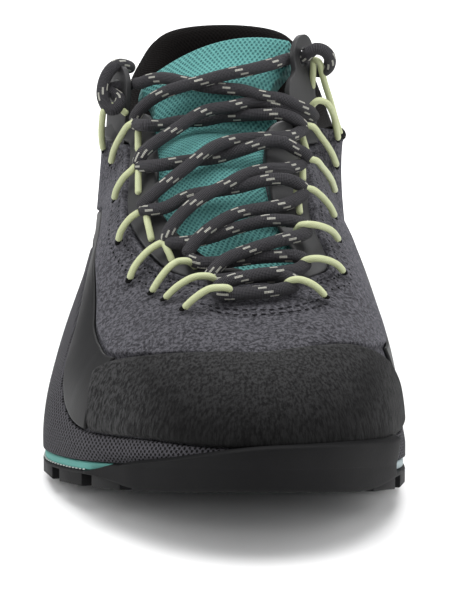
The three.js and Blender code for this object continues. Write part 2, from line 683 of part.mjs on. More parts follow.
function tongue() {
  const sections = TONGUE_STATIONS.map(({ row, rise }) => {
    const sides = [lateralAt(row), medialAt(row)];
    const ends = sides.map((u) => offset(u, 0.95, -TONGUE_CLEAR));
    const wraps = sides.map((u) => offset(u, 0.87, -TONGUE_CLEAR));
    return tongueSection(ends, sides.map((u) => normal(u, 0.95)), rise, wraps);
  });
  for (const { left, right, rise } of TONGUE_FREE) {
    const ends = [left, right].map(([x, y, up]) => new THREE.Vector3(x, y, up * TONGUE_TOP));
    const normals = [-0.6, 0.6].map((x) => new THREE.Vector3(x, -0.45, 0.65).normalize());
    const wraps = [-1, 1].map((side, i) =>
      TONGUE_WRAP.clone().multiply(new THREE.Vector3(side, 1, 1)).add(ends[i]));
    sections.push(tongueSection(ends, normals, rise, wraps));
  }
  const rings = sections.map((section) => [
    ...section.map((p) => p.front),
    ...section.map((p) => p.back).reverse(),
  ]);
  return stack(rings);
}
add("tongue", tongue(), 0x5fa8a2, 0.85);

// The lace and its cord loops. Their points are across (of the ball width), along (of the length) and above
// the top line at that place, in millimetres.
const LACE_DIAMETER = 3.7;
const LACE_SIDES = 8;
const LOOP_DIAMETER = 2;
const LOOP_SIDES = 8;
const LACE_DETAIL = 0.15;
const THROAT_ROWS = LATERAL.slice(5, 13);
function topLineUp(along) {
  const next = THROAT_ROWS.findIndex((r) => r.topAlong >= along);
  const b = THROAT_ROWS[next < 0 ? THROAT_ROWS.length - 1 : next];
  if (next <= 0) return b.height * b.up;
  const a = THROAT_ROWS[next - 1];
  const share = (along - a.topAlong) / (b.topAlong - a.topAlong);
  return a.height * a.up + (b.height * b.up - a.height * a.up) * share;
}
const place = ([across, along, above]) =>
  new THREE.Vector3(across * BALL_WIDTH, forward(along), topLineUp(along) + above);

// A closed tube with a ring square to the path at each point
function tube(points, diameter, sides) {
  const rings = [];
  let side = new THREE.Vector3(0, 0, 1);
  points.forEach((p, i) => {
    const before = points[Math.max(0, i - 1)];
    const after = points[Math.min(points.length - 1, i + 1)];
    const ahead = after.clone().sub(before).normalize();
    side = side.clone().addScaledVector(ahead, -side.dot(ahead)).normalize();
    const other = ahead.clone().cross(side);
    const ring = [];
    for (let k = 0; k < sides; k++) {
      const angle = (2 * Math.PI * k) / sides;
      const reach = side.clone().multiplyScalar(Math.cos(angle)).addScaledVector(other, Math.sin(angle));
      ring.push(p.clone().addScaledVector(reach, diameter / 2));
    }
    rings.push(ring);
  });
  return stack(rings);
}
const LACE_STRANDS = [
  [
    [0.208, 0.459, 22], [0.149, 0.496, 19.5], [0.084, 0.513, 18.5], [0.015, 0.522, 18],
    [-0.05, 0.528, 16.5], [-0.158, 0.524, 13], [-0.208, 0.522, 10], [-0.243, 0.522, 6.5],
    [-0.257, 0.522, 3],
  ],
  [
    [-0.257, 0.522, 3], [-0.213, 0.564, 7], [-0.173, 0.552, 5.5], [-0.119, 0.541, 5.5],
    [-0.05, 0.535, 5.5], [0.005, 0.533, 6.5], [0.119, 0.539, 7.5], [0.173, 0.537, 7.5], [0.218, 0.53, 5],
    [0.248, 0.517, 1],
  ],
  [
    [0.248, 0.517, 1], [0.203, 0.554, 3], [0.134, 0.589, 6], [0.05, 0.607, 8.5], [-0.02, 0.628, 10.5],
    [-0.163, 0.67, 7], [-0.203, 0.681, 5.5], [-0.228, 0.683, 3],
  ],
  [
    [-0.228, 0.683, 3], [-0.153, 0.693, 6], [-0.089, 0.68, 6.5], [-0.02, 0.672, 6], [0.168, 0.67, 9.5],
    [0.208, 0.667, 8], [0.248, 0.663, 4.5],
  ],
  [
    [0.248, 0.663, 4.5], [0.198, 0.683, 5.5], [0.144, 0.696, 7], [0.05, 0.709, 8.5], [-0.015, 0.724, 8.5],
    [-0.064, 0.739, 7.5], [-0.094, 0.748, 4.5],
  ],
  [
    [-0.094, 0.748, 4.5], [-0.045, 0.756, 4.5], [0.168, 0.756, 6.5], [0.218, 0.757, 6.5],
    [0.248, 0.759, 5.5],
  ],
  [
    [0.248, 0.759, 5.5], [0.213, 0.774, 5.5], [0.168, 0.785, 6], [0.03, 0.806, 6.5], [-0.015, 0.811, 4.5],
  ],
  [
    [-0.015, 0.811, 4], [0.015, 0.82, 4.5], [0.153, 0.813, 5], [0.218, 0.8, 4.5],
  ],
  [
    [0.218, 0.798, 5], [0.183, 0.789, 5.5], [0.134, 0.785, 5], [-0.035, 0.787, 4.5],
  ],
  [
    [-0.035, 0.787, 4.5], [0.015, 0.774, 8], [0.168, 0.748, 9.5], [0.223, 0.735, 8.5], [0.252, 0.72, 6],
  ],
  [
    [0.252, 0.72, 6], [0.223, 0.719, 8], [0.134, 0.717, 8], [0.05, 0.719, 6.5], [-0.079, 0.733, 6],
    [-0.153, 0.728, 4],
  ],
  [
    [-0.153, 0.728, 4], [-0.134, 0.719, 6.5], [-0.089, 0.704, 8.5], [0.079, 0.663, 9.5],
    [0.139, 0.65, 8.5], [0.243, 0.6, 0.5],
  ],
  [
    [0.243, 0.6, 0.5], [0.248, 0.602, 3], [0.183, 0.606, 7.5], [0.144, 0.607, 8], [-0.005, 0.619, 5.5],
    [-0.173, 0.64, 7.5], [-0.238, 0.617, 2.5],
  ],
  [
    [-0.238, 0.617, 2.5], [-0.223, 0.615, 5.5], [-0.198, 0.606, 6.5], [-0.05, 0.559, 10.5],
    [0.099, 0.528, 10], [0.168, 0.528, 9], [0.233, 0.513, 5.5], [0.277, 0.489, 3],
  ],
  [
    [0.277, 0.489, 3], [0.257, 0.509, 6], [0.218, 0.522, 9], [0.178, 0.528, 11], [0.064, 0.526, 13.5],
    [-0.05, 0.522, 14.5], [-0.163, 0.496, 15], [-0.238, 0.478, 14], [-0.257, 0.463, 14],
  ],
];
const LACE_ENDS = {
  lateral: [
    [-0.333, 0.466, 12], [-0.335, 0.481, 10], [-0.312, 0.493, 6], [-0.335, 0.495, 4], [-0.352, 0.485, 7],
    [-0.356, 0.472, 11.5], [-0.352, 0.46, 16], [-0.344, 0.449, 19.5],
  ],
  medial: [
    [0.247, 0.467, 22], [0.266, 0.471, 22], [0.267, 0.479, 23.5], [0.288, 0.477, 24.5],
    [0.316, 0.472, 23.5], [0.331, 0.467, 21], [0.326, 0.457, 18.5], [0.303, 0.448, 17.5],
  ],
};
const LOOPS = {
  lateral: [
    [[-0.354, 0.461, -6.5], [-0.339, 0.47, -4], [-0.325, 0.478, -1], [-0.311, 0.487, 2],
     [-0.281, 0.492, 2.5]],
    [[-0.325, 0.5, -11], [-0.313, 0.502, -7], [-0.284, 0.523, -2], [-0.248, 0.557, 1.5],
     [-0.237, 0.579, 0.5]],
    [[-0.304, 0.61, -8.5], [-0.286, 0.613, -4.5], [-0.265, 0.616, -1.5], [-0.232, 0.638, 2.5],
     [-0.229, 0.653, 1.5]],
    [[-0.284, 0.686, -5.5], [-0.268, 0.684, -2.5], [-0.245, 0.688, 0], [-0.207, 0.697, 2],
     [-0.189, 0.714, 1.5]],
    [[-0.249, 0.742, -3.5], [-0.221, 0.739, -0.5], [-0.188, 0.733, 1], [-0.152, 0.74, 2.5],
     [-0.129, 0.745, 2]],
    [[-0.185, 0.775, -1], [-0.161, 0.764, 1], [-0.129, 0.755, 2.5], [-0.101, 0.758, 2.5]],
    [[-0.148, 0.797, 0], [-0.113, 0.789, 2], [-0.072, 0.792, 3], [-0.051, 0.796, 2.5]],
    [[-0.094, 0.829, 1.5], [-0.062, 0.823, 3], [-0.03, 0.83, 3.5], [-0.008, 0.829, 3]],
  ],
  medial: [
    [[0.357, 0.445, -1.5], [0.34, 0.446, 4], [0.319, 0.448, 9.5], [0.306, 0.448, 13.5], [0.298, 0.444, 11.5]],
    [[0.349, 0.456, -3], [0.327, 0.465, -2.5], [0.307, 0.474, -1.5], [0.286, 0.484, -1], [0.26, 0.493, -0.5]],
    [[0.346, 0.47, -11.5], [0.327, 0.483, -8], [0.299, 0.491, -5], [0.256, 0.51, -3], [0.249, 0.545, -3]],
    [[0.337, 0.51, -18.5], [0.313, 0.553, -10], [0.283, 0.563, -6], [0.256, 0.604, -2.5],
     [0.236, 0.625, -0.5]],
    [[0.328, 0.635, -8.5], [0.304, 0.641, -4], [0.27, 0.645, -1], [0.243, 0.671, 1], [0.226, 0.687, 3]],
    [[0.335, 0.689, -4], [0.315, 0.689, -1.5], [0.284, 0.697, 1.5], [0.25, 0.702, 3.5], [0.219, 0.707, 4]],
    [[0.345, 0.745, 0], [0.32, 0.744, 2], [0.284, 0.746, 3.5], [0.251, 0.744, 3.5], [0.227, 0.745, 3.5]],
    [[0.291, 0.805, 2], [0.267, 0.797, 3], [0.24, 0.787, 3.5], [0.217, 0.783, 3]],
  ],
};
const lace = LACE_STRANDS.map((points) => tube(points.map(place), LACE_DIAMETER, LACE_SIDES));
add("lace", lace.reduce((whole, strand) => whole.add(strand)).simplify(LACE_DETAIL), 0x3d3a42, 0.85);
for (const [side, points] of Object.entries(LACE_ENDS))
  add(`lace_end_${side}`, tube(points.map(place), LACE_DIAMETER, LACE_SIDES), 0x3d3a42, 0.85);
for (const [side, loops] of Object.entries(LOOPS))
  loops.forEach((points, i) =>
    add(`loop_${side}_${i + 1}`, tube(points.map(place), LOOP_DIAMETER, LOOP_SIDES), 0xd3dda6, 0.8));

export default pieces;
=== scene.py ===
import math

import bpy
import numpy as np
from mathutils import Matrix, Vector


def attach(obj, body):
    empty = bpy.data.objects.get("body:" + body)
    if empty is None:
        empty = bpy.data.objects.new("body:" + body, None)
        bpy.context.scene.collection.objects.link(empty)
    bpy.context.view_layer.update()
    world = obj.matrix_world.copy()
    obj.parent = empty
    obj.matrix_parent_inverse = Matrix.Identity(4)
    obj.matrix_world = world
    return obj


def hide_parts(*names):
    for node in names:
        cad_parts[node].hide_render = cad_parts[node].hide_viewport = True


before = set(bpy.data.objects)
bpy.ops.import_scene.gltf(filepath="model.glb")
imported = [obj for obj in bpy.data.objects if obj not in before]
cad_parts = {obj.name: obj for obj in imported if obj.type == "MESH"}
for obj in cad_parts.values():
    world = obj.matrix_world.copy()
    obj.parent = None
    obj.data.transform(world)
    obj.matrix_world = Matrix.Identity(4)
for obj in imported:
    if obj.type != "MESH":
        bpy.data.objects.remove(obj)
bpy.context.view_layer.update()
bpy.ops.object.select_all(action="DESELECT")

# Studio. A pale seamless floor, a wide soft box overhead, one on each side, one behind and one in
# front, seen by a long lens a little above the toe.
MM = 0.001
CAMERA_PLACE = (6.59, -858.05, 276.0)
CAMERA_DOWN = 15.71
CAMERA_YAW = 0.42
CAMERA_LENS = 176.5


def linear(hex_colour):
    """An sRGB colour such as #4a4b52 as linear RGBA."""
    shares = [int(hex_colour[i : i + 2], 16) / 255 for i in (1, 3, 5)]
    return [s / 12.92 if s <= 0.04045 else ((s + 0.055) / 1.055) ** 2.4 for s in shares] + [1.0]


def add_node(material, kind, settings=None, inputs=None):
    """A node with its settings, and its inputs set or linked."""
    node = material.node_tree.nodes.new(kind)
    for name, value in (settings or {}).items():
        setattr(node, name, value)
    for name, value in (inputs or {}).items():
        if isinstance(value, bpy.types.NodeSocket):
            material.node_tree.links.new(value, node.inputs[name])
        else:
            node.inputs[name].default_value = value
    return node


def new_material(name, **inputs):
    """A material and its shader, with constant inputs set on the shader itself."""
    material = bpy.data.materials.new(name)
    material.use_nodes = True
    shader = material.node_tree.nodes["Principled BSDF"]
    for socket, value in inputs.items():
        shader.inputs[socket.replace("_", " ")].default_value = value
    return material, shader


def link(material, socket, target):
    material.node_tree.links.new(socket, target)


def blend(material, factor, a, b):
    """The colour between two, each a name such as #4a4b52, a linear colour or a socket."""
    a, b = (linear(colour) if isinstance(colour, str) else colour for colour in (a, b))
    return add_node(material, "ShaderNodeMix", {"data_type": "RGBA"}, {
        "Factor": factor, "A": a, "B": b}).outputs["Result"]


def paint(material, shader, factor, a, b):
    """Colour the shader between two colours."""
    link(material, blend(material, factor, a, b), shader.inputs["Base Color"])


def mottling(material, place, scale, detail, **more):
    """Noise over the object's own coordinates."""
    return add_node(material, "ShaderNodeTexNoise", inputs={
        "Vector": place.outputs["Object"], "Scale": scale, "Detail": detail, **more})


def emboss(material, shader, height, strength, distance, invert=False):
    """Raise the shader's surface by a height socket."""
    bump = add_node(material, "ShaderNodeBump", {"invert": invert}, {
        "Strength": strength, "Distance": distance, "Height": height})
    link(material, bump.outputs["Normal"], shader.inputs["Normal"])


def select_only(*pieces):
    """Select these pieces alone, the first of them active."""
    bpy.ops.object.select_all(action="DESELECT")
    for piece in pieces:
        piece.select_set(True)
    bpy.context.view_layer.objects.active = pieces[0]


def soft_light(name, place, aim, size, power, colour="#ffffff"):
    bpy.ops.object.light_add(type="AREA", location=[c * MM for c in place])
    light = bpy.context.object
    light.name = name
    light.data.shape = "RECTANGLE"
    light.data.size, light.data.size_y = [s * MM for s in size]
    light.data.energy = power
    light.data.color = linear(colour)[:3]
    towards = Vector([(a - p) * MM for a, p in zip(aim, place)])
    light.rotation_euler = towards.to_track_quat("-Z", "Y").to_euler()


def studio():
    bpy.ops.object.camera_add(location=[c * MM for c in CAMERA_PLACE])
    camera = bpy.context.object
    camera.rotation_euler = [math.radians(a) for a in (90 - CAMERA_DOWN, 0, CAMERA_YAW)]
    camera.data.lens = CAMERA_LENS
    camera.data.sensor_width = 36
    camera.data.clip_start = 0.01
    camera.data.clip_end = 60
    scene = bpy.context.scene
    scene.camera = camera
    scene.view_settings.view_transform = "Standard"
    bpy.ops.mesh.primitive_plane_add(size=30, location=(0, 0, 0))
    floor = bpy.context.object
    floor.name = "floor"
    material, shader = new_material("matt_white_paper", Roughness=0.9)
    grain = add_node(material, "ShaderNodeTexNoise", inputs={"Scale": 900.0, "Detail": 2.0})
    paint(material, shader, grain.outputs["Fac"], "#f6f6f6", "#f9f9f9")
    floor.data.materials.append(material)
    world = bpy.data.worlds.new("studio_air")
    world.use_nodes = True
    world.node_tree.nodes["Background"].inputs["Color"].default_value = linear("#fbfcff")
    world.node_tree.nodes["Background"].inputs["Strength"].default_value = 0.18
    scene.world = world
    soft_light("overhead", (0, -60, 1300), (0, 0, 0), (1300, 1300), 25)
    soft_light("left_side", (-1100, 0, 500), (0, 0, 50), (900, 900), 8)
    soft_light("right_side", (1100, 0, 500), (0, 0, 50), (900, 900), 8)
    soft_light("front", (0, -1500, 800), (0, -60, 0), (1400, 600), 7)
    soft_light("rear", (0, 1400, 800), (0, 0, 60), (1200, 700), 10)


studio()

# The outsole. Moulded black rubber: a slab with square lugs round its edge, hexagonal studs inside and a
# smooth bumper in front of the toe. It is cemented under the midsole, on the last's own outline.
LENGTH = 270
BALL_WIDTH = 101
ORIGIN = np.array([0.91, 1.05, 0.0])
# along, out, top_along, top_out, height, roll, square, belly and waist of the sections from heel to toe
LATERAL = np.array([
    [0.0, 0.0, 0.03, 0.0, 95.0, 25, 2.0, 1.5, 1.3],
    [0.026, 0.188, 0.055, 0.185, 93.58, 25, 2.0, 1.4, 1.0],
    [0.093, 0.317, 0.115, 0.264, 86.45, 28, 2.0, 1.2, 0.4],
    [0.211, 0.351, 0.226, 0.315, 76.48, 30, 2.0, 0.9, 0.0],
    [0.337, 0.356, 0.344, 0.33, 77.43, 34, 2.0, 0.8, 0.0],
    [0.456, 0.391, 0.44, 0.34, 84.08, 42, 2.0, 0.3, 0.0],
    [0.515, 0.425, 0.503, 0.225, 88.5, 62, 2.0, 0.4, 0.0],
    [0.567, 0.45, 0.59, 0.195, 84.52, 68, 1.95, 0.2, 0.0],
    [0.663, 0.49, 0.672, 0.175, 73.9, 74, 1.9, 0.1, 0.0],
    [0.752, 0.49, 0.735, 0.06, 63.22, 80, 2.05, 0.1, 0.0],
    [0.819, 0.421, 0.76, -0.099, 60.03, 88, 2.35, 0.3, 0.0],
    [0.878, 0.322, 0.795, -0.099, 57.71, 88, 2.5, 0.5, 0.0],
    [0.93, 0.218, 0.83, -0.099, 55.68, 86, 2.5, 0.4, 0.0],
    [0.974, 0.079, 0.857, -0.099, 53.65, 82, 2.4, 0.3, 0.0],
    [1.0, -0.099, 0.874, -0.099, 52.2, 78, 2.3, 0.3, 0.0],
])
MEDIAL = np.array([
    [0.0, 0.0, 0.03, 0.0, 95.0, 25, 2.0, 1.5, 1.3],
    [0.026, 0.183, 0.055, 0.185, 93.58, 25, 2.0, 1.4, 1.0],
    [0.093, 0.312, 0.115, 0.262, 86.45, 28, 2.0, 1.2, 0.4],
    [0.211, 0.337, 0.226, 0.32, 76.48, 30, 2.0, 1.1, 0.0],
    [0.337, 0.33, 0.344, 0.335, 77.43, 32, 2.0, 1.3, 0.0],
    [0.456, 0.345, 0.44, 0.348, 84.08, 36, 2.3, 1.7, 0.0],
    [0.515, 0.375, 0.503, 0.175, 88.5, 60, 2.8, 2.0, 0.0],
    [0.567, 0.42, 0.59, 0.13, 85.85, 66, 3.0, 1.7, 0.0],
    [0.663, 0.473, 0.672, 0.15, 75.23, 75, 2.9, 0.9, 0.0],
    [0.752, 0.51, 0.735, 0.225, 63.22, 82, 2.7, 0.1, 0.0],
    [0.819, 0.511, 0.76, 0.099, 60.03, 88, 2.75, 0.0, 0.0],
    [0.878, 0.478, 0.795, 0.099, 57.71, 88, 2.8, 0.5, 0.0],
    [0.935, 0.396, 0.83, 0.099, 55.68, 86, 2.6, 0.4, 0.0],
    [0.978, 0.277, 0.857, 0.099, 53.65, 82, 2.5, 0.3, 0.0],
    [1.0, 0.099, 0.874, 0.099, 52.2, 78, 2.3, 0.3, 0.0],
])
ROWS = 14
RIDGE_ROW = 10
FINE_STEPS = 24
TOE_SPRING = 21
HEEL_SPRING = 2.5
ARCH_RISE = 2.5
LUG_DEPTH = 3.5
SLAB = {"toe": 4.6, "heel": 3.4}
STACK = {"toe": 7.2, "heel": 15.8}
LUGS_ROUND_THE_EDGE = 32
LUG_SHARE = 0.74
LUG_INWARD = 12
STUD_RADIUS = 5.6
MOULDED_EDGE = 0.35


def reach_along(line):
    """How far along a line each of its points is."""
    return np.concatenate([[0], np.cumsum(np.linalg.norm(np.diff(line, axis=0), axis=1))])


def smooth_route(points, step):
    """Points in metres at even steps on a smooth curve through the given places in millimetres."""
    places = np.array(points, float) * MM
    padded_places = np.vstack([2 * places[0] - places[1], places, 2 * places[-1] - places[-2]])
    fine = []
    for i in range(1, len(padded_places) - 2):
        p = padded_places[i - 1 : i + 3]
        knots = np.concatenate([[0], np.cumsum(np.sqrt(np.linalg.norm(np.diff(p, axis=0), axis=1)))])
        t = np.linspace(knots[1], knots[2], FINE_STEPS, endpoint=False)[:, None]

        def between(start, end, low, high):
            span = knots[end] - knots[start]
            return (knots[end] - t) / span * low + (t - knots[start]) / span * high

        a = [between(k, k + 1, p[k], p[k + 1]) for k in range(3)]
        b = [between(k, k + 2, a[k], a[k + 1]) for k in range(2)]
        fine.append(between(1, 2, b[0], b[1]))
    fine = np.vstack([*fine, places[-1:]])
    reach = reach_along(fine)
    count = max(4, int(round(reach[-1] / (step * MM))))
    wanted = np.linspace(0, reach[-1], count + 1)
    return np.stack([np.interp(wanted, reach, fine[:, k]) for k in range(3)], axis=1)


def formed_sheet(name, columns, rows, place, size=(1.0, 1.0)):
    """A grid laid over a surface: place gives a point for shares across and along. Its UVs are in
    millimetres: size is the sheet's width and length, or gives the millimetres at shares across and along."""
    bpy.ops.mesh.primitive_grid_add(x_subdivisions=columns, y_subdivisions=rows, size=1, calc_uvs=True)
    piece = bpy.context.object
    piece.name = name
    piece.data.name = name
    flat = np.empty(len(piece.data.vertices) * 3)
    piece.data.vertices.foreach_get("co", flat)
    shares = np.clip(flat.reshape(-1, 3)[:, :2] + 0.5, 0, 1)
    formed = place(shares[:, 0], shares[:, 1])
    piece.data.vertices.foreach_set("co", formed.astype(np.float32).ravel())
    spread = size(shares[:, 0], shares[:, 1]) if callable(size) else shares * np.array(size)
    corners = np.empty(len(piece.data.loops), dtype=np.int32)
    piece.data.loops.foreach_get("vertex_index", corners)
    piece.data.uv_layers[0].data.foreach_set("uv", spread[corners].astype(np.float32).ravel())
    piece.data.update()
    return piece


def joined(name, parts, merge=0.02):
    """The parts as one mesh, with points at one place merged and its faces smooth."""
    select_only(*parts)
    if len(parts) > 1:
        bpy.ops.object.join()
    piece = parts[0]
    piece.name = name
    piece.data.name = name
    bpy.ops.object.mode_set(mode="EDIT")
    bpy.ops.mesh.select_all(action="SELECT")
    bpy.ops.mesh.remove_doubles(threshold=merge * MM)
    bpy.ops.mesh.dissolve_degenerate(threshold=merge * MM * 0.1)
    bpy.ops.object.mode_set(mode="OBJECT")
    bpy.ops.object.shade_smooth()
    bpy.ops.object.select_all(action="DESELECT")
    return piece


def flipped(piece):
    select_only(piece)
    bpy.ops.object.mode_set(mode="EDIT")
    bpy.ops.mesh.select_all(action="SELECT")
    bpy.ops.mesh.flip_normals()
    bpy.ops.object.mode_set(mode="OBJECT")
    return piece


def cord_tube(name, route, diameter, sides):
    """A round cord along a route, with a rounded tip at each end."""
    ahead = np.gradient(route, axis=0)
    ahead /= np.linalg.norm(ahead, axis=1)[:, None]
    side = np.zeros_like(route)
    last = np.array([0.0, 0.0, 1.0])
    for i, direction in enumerate(ahead):
        last = last - direction * (last @ direction)
        last /= np.linalg.norm(last)
        side[i] = last
    other = np.cross(ahead, side)
    reach = reach_along(route)
    radius = diameter * MM / 2
    from_end = np.minimum(reach, reach[-1] - reach) / radius
    thick = radius * np.sqrt(np.clip(1 - (1 - np.clip(from_end, 0, 1)) ** 2, 0, 1))

    def place(across, along):
        i = np.rint(along * (len(route) - 1)).astype(int)
        angle = -2 * np.pi * across[:, None]
        return route[i] + thick[i][:, None] * (side[i] * np.cos(angle) + other[i] * np.sin(angle))

    size = (math.pi * diameter, reach[-1] / MM)
    return joined(name, [formed_sheet(name, sides, len(route) - 1, place, size)], 0.01)


def ramp(x):
    x = np.clip(x, 0, 1)
    return x * x * (3 - 2 * x)


def forward(along):
    return LENGTH * (0.5 - along)


def share_of(y):
    return 0.5 - y / LENGTH


def ground(y):
    """Height of the floor side of the sole: flat below heel and ball, turned up at the toe."""
    toe = np.maximum(0, (share_of(y) - 0.655) / 0.345)
    heel = np.maximum(0, 1 - share_of(y) / 0.06)
    return TOE_SPRING * toe**1.6 + HEEL_SPRING * heel**2


def tread(y):
    arch = np.clip((share_of(y) - 0.3) / 0.22, 0, 1)
    return ground(y) + ARCH_RISE * np.sin(np.pi * arch) ** 2


def heel_share(y):
    return 1 - ramp((share_of(y) - 0.2) / 0.46)


def sole_top(y):
    return ground(y) + STACK["toe"] + STACK["heel"] * heel_share(y)


def outsole_top(y):
    return ground(y) + SLAB["toe"] + SLAB["heel"] * heel_share(y)


def slab_bottom(y):
    return tread(y) + LUG_DEPTH * (1 - ramp((share_of(y) - 0.86) / 0.09))


def cubic(p, w):
    """The place at a share between the middle two of four places, on a smooth curve through them."""
    v0, v1 = 0.5 * (p[2] - p[0]), 0.5 * (p[3] - p[1])
    rise, fall = p[1] - p[2], p[2] - p[1]
    return (2 * rise + v0 + v1) * w**3 + (3 * fall - 2 * v0 - v1) * w**2 + v0 * w + p[1]


def round_the_shoe(lateral, medial):
    """A smooth closed curve through places at the sections: heel, lateral side, toe, medial side."""
    places = np.vstack([lateral, medial[1:-1][::-1]])
    count = len(places)

    def read(u):
        at = (np.asarray(u, float) % 1) * count
        i = np.floor(at).astype(int)
        w = (at - i)[:, None]
        return cubic([places[(i + k) % count] for k in (-1, 0, 1, 2)], w)

    return read


def sided(side, table, first, second, third=None):
    up = np.zeros(len(table)) if third is None else table[:, third]
    return np.stack([side * table[:, second] * BALL_WIDTH, forward(table[:, first]), up], axis=1)


edge_curve = round_the_shoe(sided(-1, LATERAL, 0, 1), sided(1, MEDIAL, 0, 1))
top_curve = round_the_shoe(sided(-1, LATERAL, 2, 3, 4), sided(1, MEDIAL, 2, 3, 4))
turn_curve = round_the_shoe(LATERAL[:, 5:], MEDIAL[:, 5:])


def row_of(u):
    u = np.asarray(u, float) % 1
    return 2 * ROWS * np.where(u <= 0.5, u, 1 - u)


def lateral_at(row):
    return row / (2 * ROWS)


def medial_at(row):
    return 1 - row / (2 * ROWS)


def outwards(u):
    step = edge_curve(u + 1e-3) - edge_curve(u - 1e-3)
    step /= np.linalg.norm(step, axis=1)[:, None]
    return np.stack([step[:, 1], -step[:, 0], np.zeros(len(step))], axis=1)


def sole_edge(u, out=0.0):
    u = np.asarray(u, float)
    return edge_curve(u) + outwards(u) * np.broadcast_to(out, u.shape)[:, None]


BUMPER_LATERAL = 11.7
BUMPER_LOW_END = 10.7
BUMPER_INNER = 2.6
BUMPER_THICKNESS = 1.9
BUMPER_EDGE = 2.2
BUMPER_SIZE = (190, 20)
BUMPER_MEDIAL = 10.9
BUMPER_HEIGHTS = {
    "lateral": ([10.7, 11.3, 11.9, 12.6, 13.3, 14], [4.6, 7.0, 8.6, 9.4, 10.6, 11.8]),
    "medial": ([10.5, 11.0, 11.5, 12.5, 13.25, 14], [16.5, 15.4, 14.8, 13.7, 12.7, 11.8]),
}


def by_side(u, table):
    """A two-sided table of rows and values, read by straight lines at the row of u."""
    row = row_of(u)
    lateral, medial = (np.interp(row, *table[side]) for side in ("lateral", "medial"))
    return np.where(np.asarray(u) % 1 <= 0.5, lateral, medial)


def smooth_line(u, table, reach=0.004):
    """A panel line with its corners rounded off."""
    return sum(by_side(u + shift * reach, table) for shift in (-2, -1, 0, 1, 2)) / 5


def bumper_share(u):
    start = np.where(np.asarray(u) % 1 <= 0.5, BUMPER_LATERAL, BUMPER_MEDIAL)
    return ramp((row_of(u) - start + 1.2) / 1.2)


def foot_inset(u):
    return 2.0 + bumper_share(u) * 2.4


def make_ribs(columns, steps):
    """The last's surface as ribs from the foot line to the top line, with its outward directions."""
    u = np.arange(columns) / columns
    foot = sole_edge(u, -foot_inset(u))
    foot[:, 2] = sole_top(foot[:, 1]) + 0.7
    top = top_curve(u)
    ridge = row_of(u) >= RIDGE_ROW - 1e-6
    top[ridge] = (top[ridge] + top_curve(1 - u)[ridge]) / 2
    roll, square, belly_size, waist_size = turn_curve(u).T
    roll = np.radians(np.minimum(90, roll))[:, None]
    power = (2 / square)[:, None]
    angle = np.linspace(0, 1, 4 * steps + 1)[None, :] * roll
    inward = (1 - np.cos(angle) ** power) / (1 - np.cos(roll) ** power)
    up = np.sin(angle) ** power / np.sin(roll) ** power
    belly = np.where(up < 0.3, np.sin(np.pi / 2 * up / 0.3), np.cos(np.pi / 2 * (up - 0.3) / 0.7) ** 2)
    waist = np.sin(np.pi * np.maximum(0, (up - 0.4) / 0.6)) ** 2
    swell = 2.7 * (belly_size[:, None] * belly - waist_size[:, None] * waist)
    points = foot[:, None, :] + (top - foot)[:, None, :] * inward[:, :, None]
    points[:, :, 2] = foot[:, None, 2] + (top - foot)[:, None, 2] * up
    points += outwards(u)[:, None, :] * swell[:, :, None]
    ribs = np.empty((columns, steps + 1, 3))
    for i, line in enumerate(points):
        reach = reach_along(line)
        wanted = np.linspace(0, reach[-1], steps + 1)
        ribs[i] = np.stack([np.interp(wanted, reach, line[:, k]) for k in range(3)], axis=1)
    return ribs


def rib_directions(ribs):
    columns, levels = ribs.shape[:2]
    reach = max(1, round(0.004 * columns))
    level_reach = round(0.03 * (levels - 1))
    middle = np.clip(np.arange(levels), level_reach, levels - 1 - level_reach)
    round_it = (np.roll(ribs, -reach, axis=0) - np.roll(ribs, reach, axis=0))[:, middle]
    upwards = ribs[:, middle + level_reach] - ribs[:, middle - level_reach]
    normals = np.cross(round_it, upwards)
    normals /= np.linalg.norm(normals, axis=2)[:, :, None]
    ridge = row_of(np.arange(columns) / columns) >= RIDGE_ROW - 1e-6
    mirrored = normals[(-np.arange(columns)) % columns]
    crest = normals[:, -1:] + mirrored[:, -1:]
    share = ramp((np.linspace(0, 1, levels) - 0.88) / 0.12)[None, :, None] * ridge[:, None, None]
    normals = normals * (1 - share) + crest / np.linalg.norm(crest, axis=2)[:, :, None] * share
    normals[:, 0, 2] = 0
    return normals / np.linalg.norm(normals, axis=2)[:, :, None]


RIB_COLUMNS = 672
RIB_STEPS = 120
RIBS = make_ribs(RIB_COLUMNS, RIB_STEPS)
RIB_NORMALS = rib_directions(RIBS)


def over_last(u, t, out=0.0):
    """Points in metres in the row frame at u round the shoe, t up the rib and out from the last's surface."""
    u, t = np.broadcast_arrays(np.asarray(u, float), np.asarray(t, float))
    at, level = (u % 1) * RIB_COLUMNS, t * RIB_STEPS
    i = np.floor(at + 1e-9).astype(int) % RIB_COLUMNS
    k = np.clip(np.floor(level), 0, RIB_STEPS - 1).astype(int)
    a, b = (at - np.floor(at + 1e-9))[:, None], (level - k)[:, None]
    b_normal = np.clip(b, 0, 1)
    j = (i + 1) % RIB_COLUMNS

    def read(table, b):
        here, ahead = (table[c, k] * (1 - b) + table[c, k + 1] * b for c in (i, j))
        return here * (1 - a) + ahead * a

    surface, normal = read(RIBS, b), read(RIB_NORMALS, b_normal)
    normal /= np.linalg.norm(normal, axis=1)[:, None]
    out = np.broadcast_to(np.asarray(out, float), u.shape)[:, None]
    return (surface + normal * out - ORIGIN) * MM


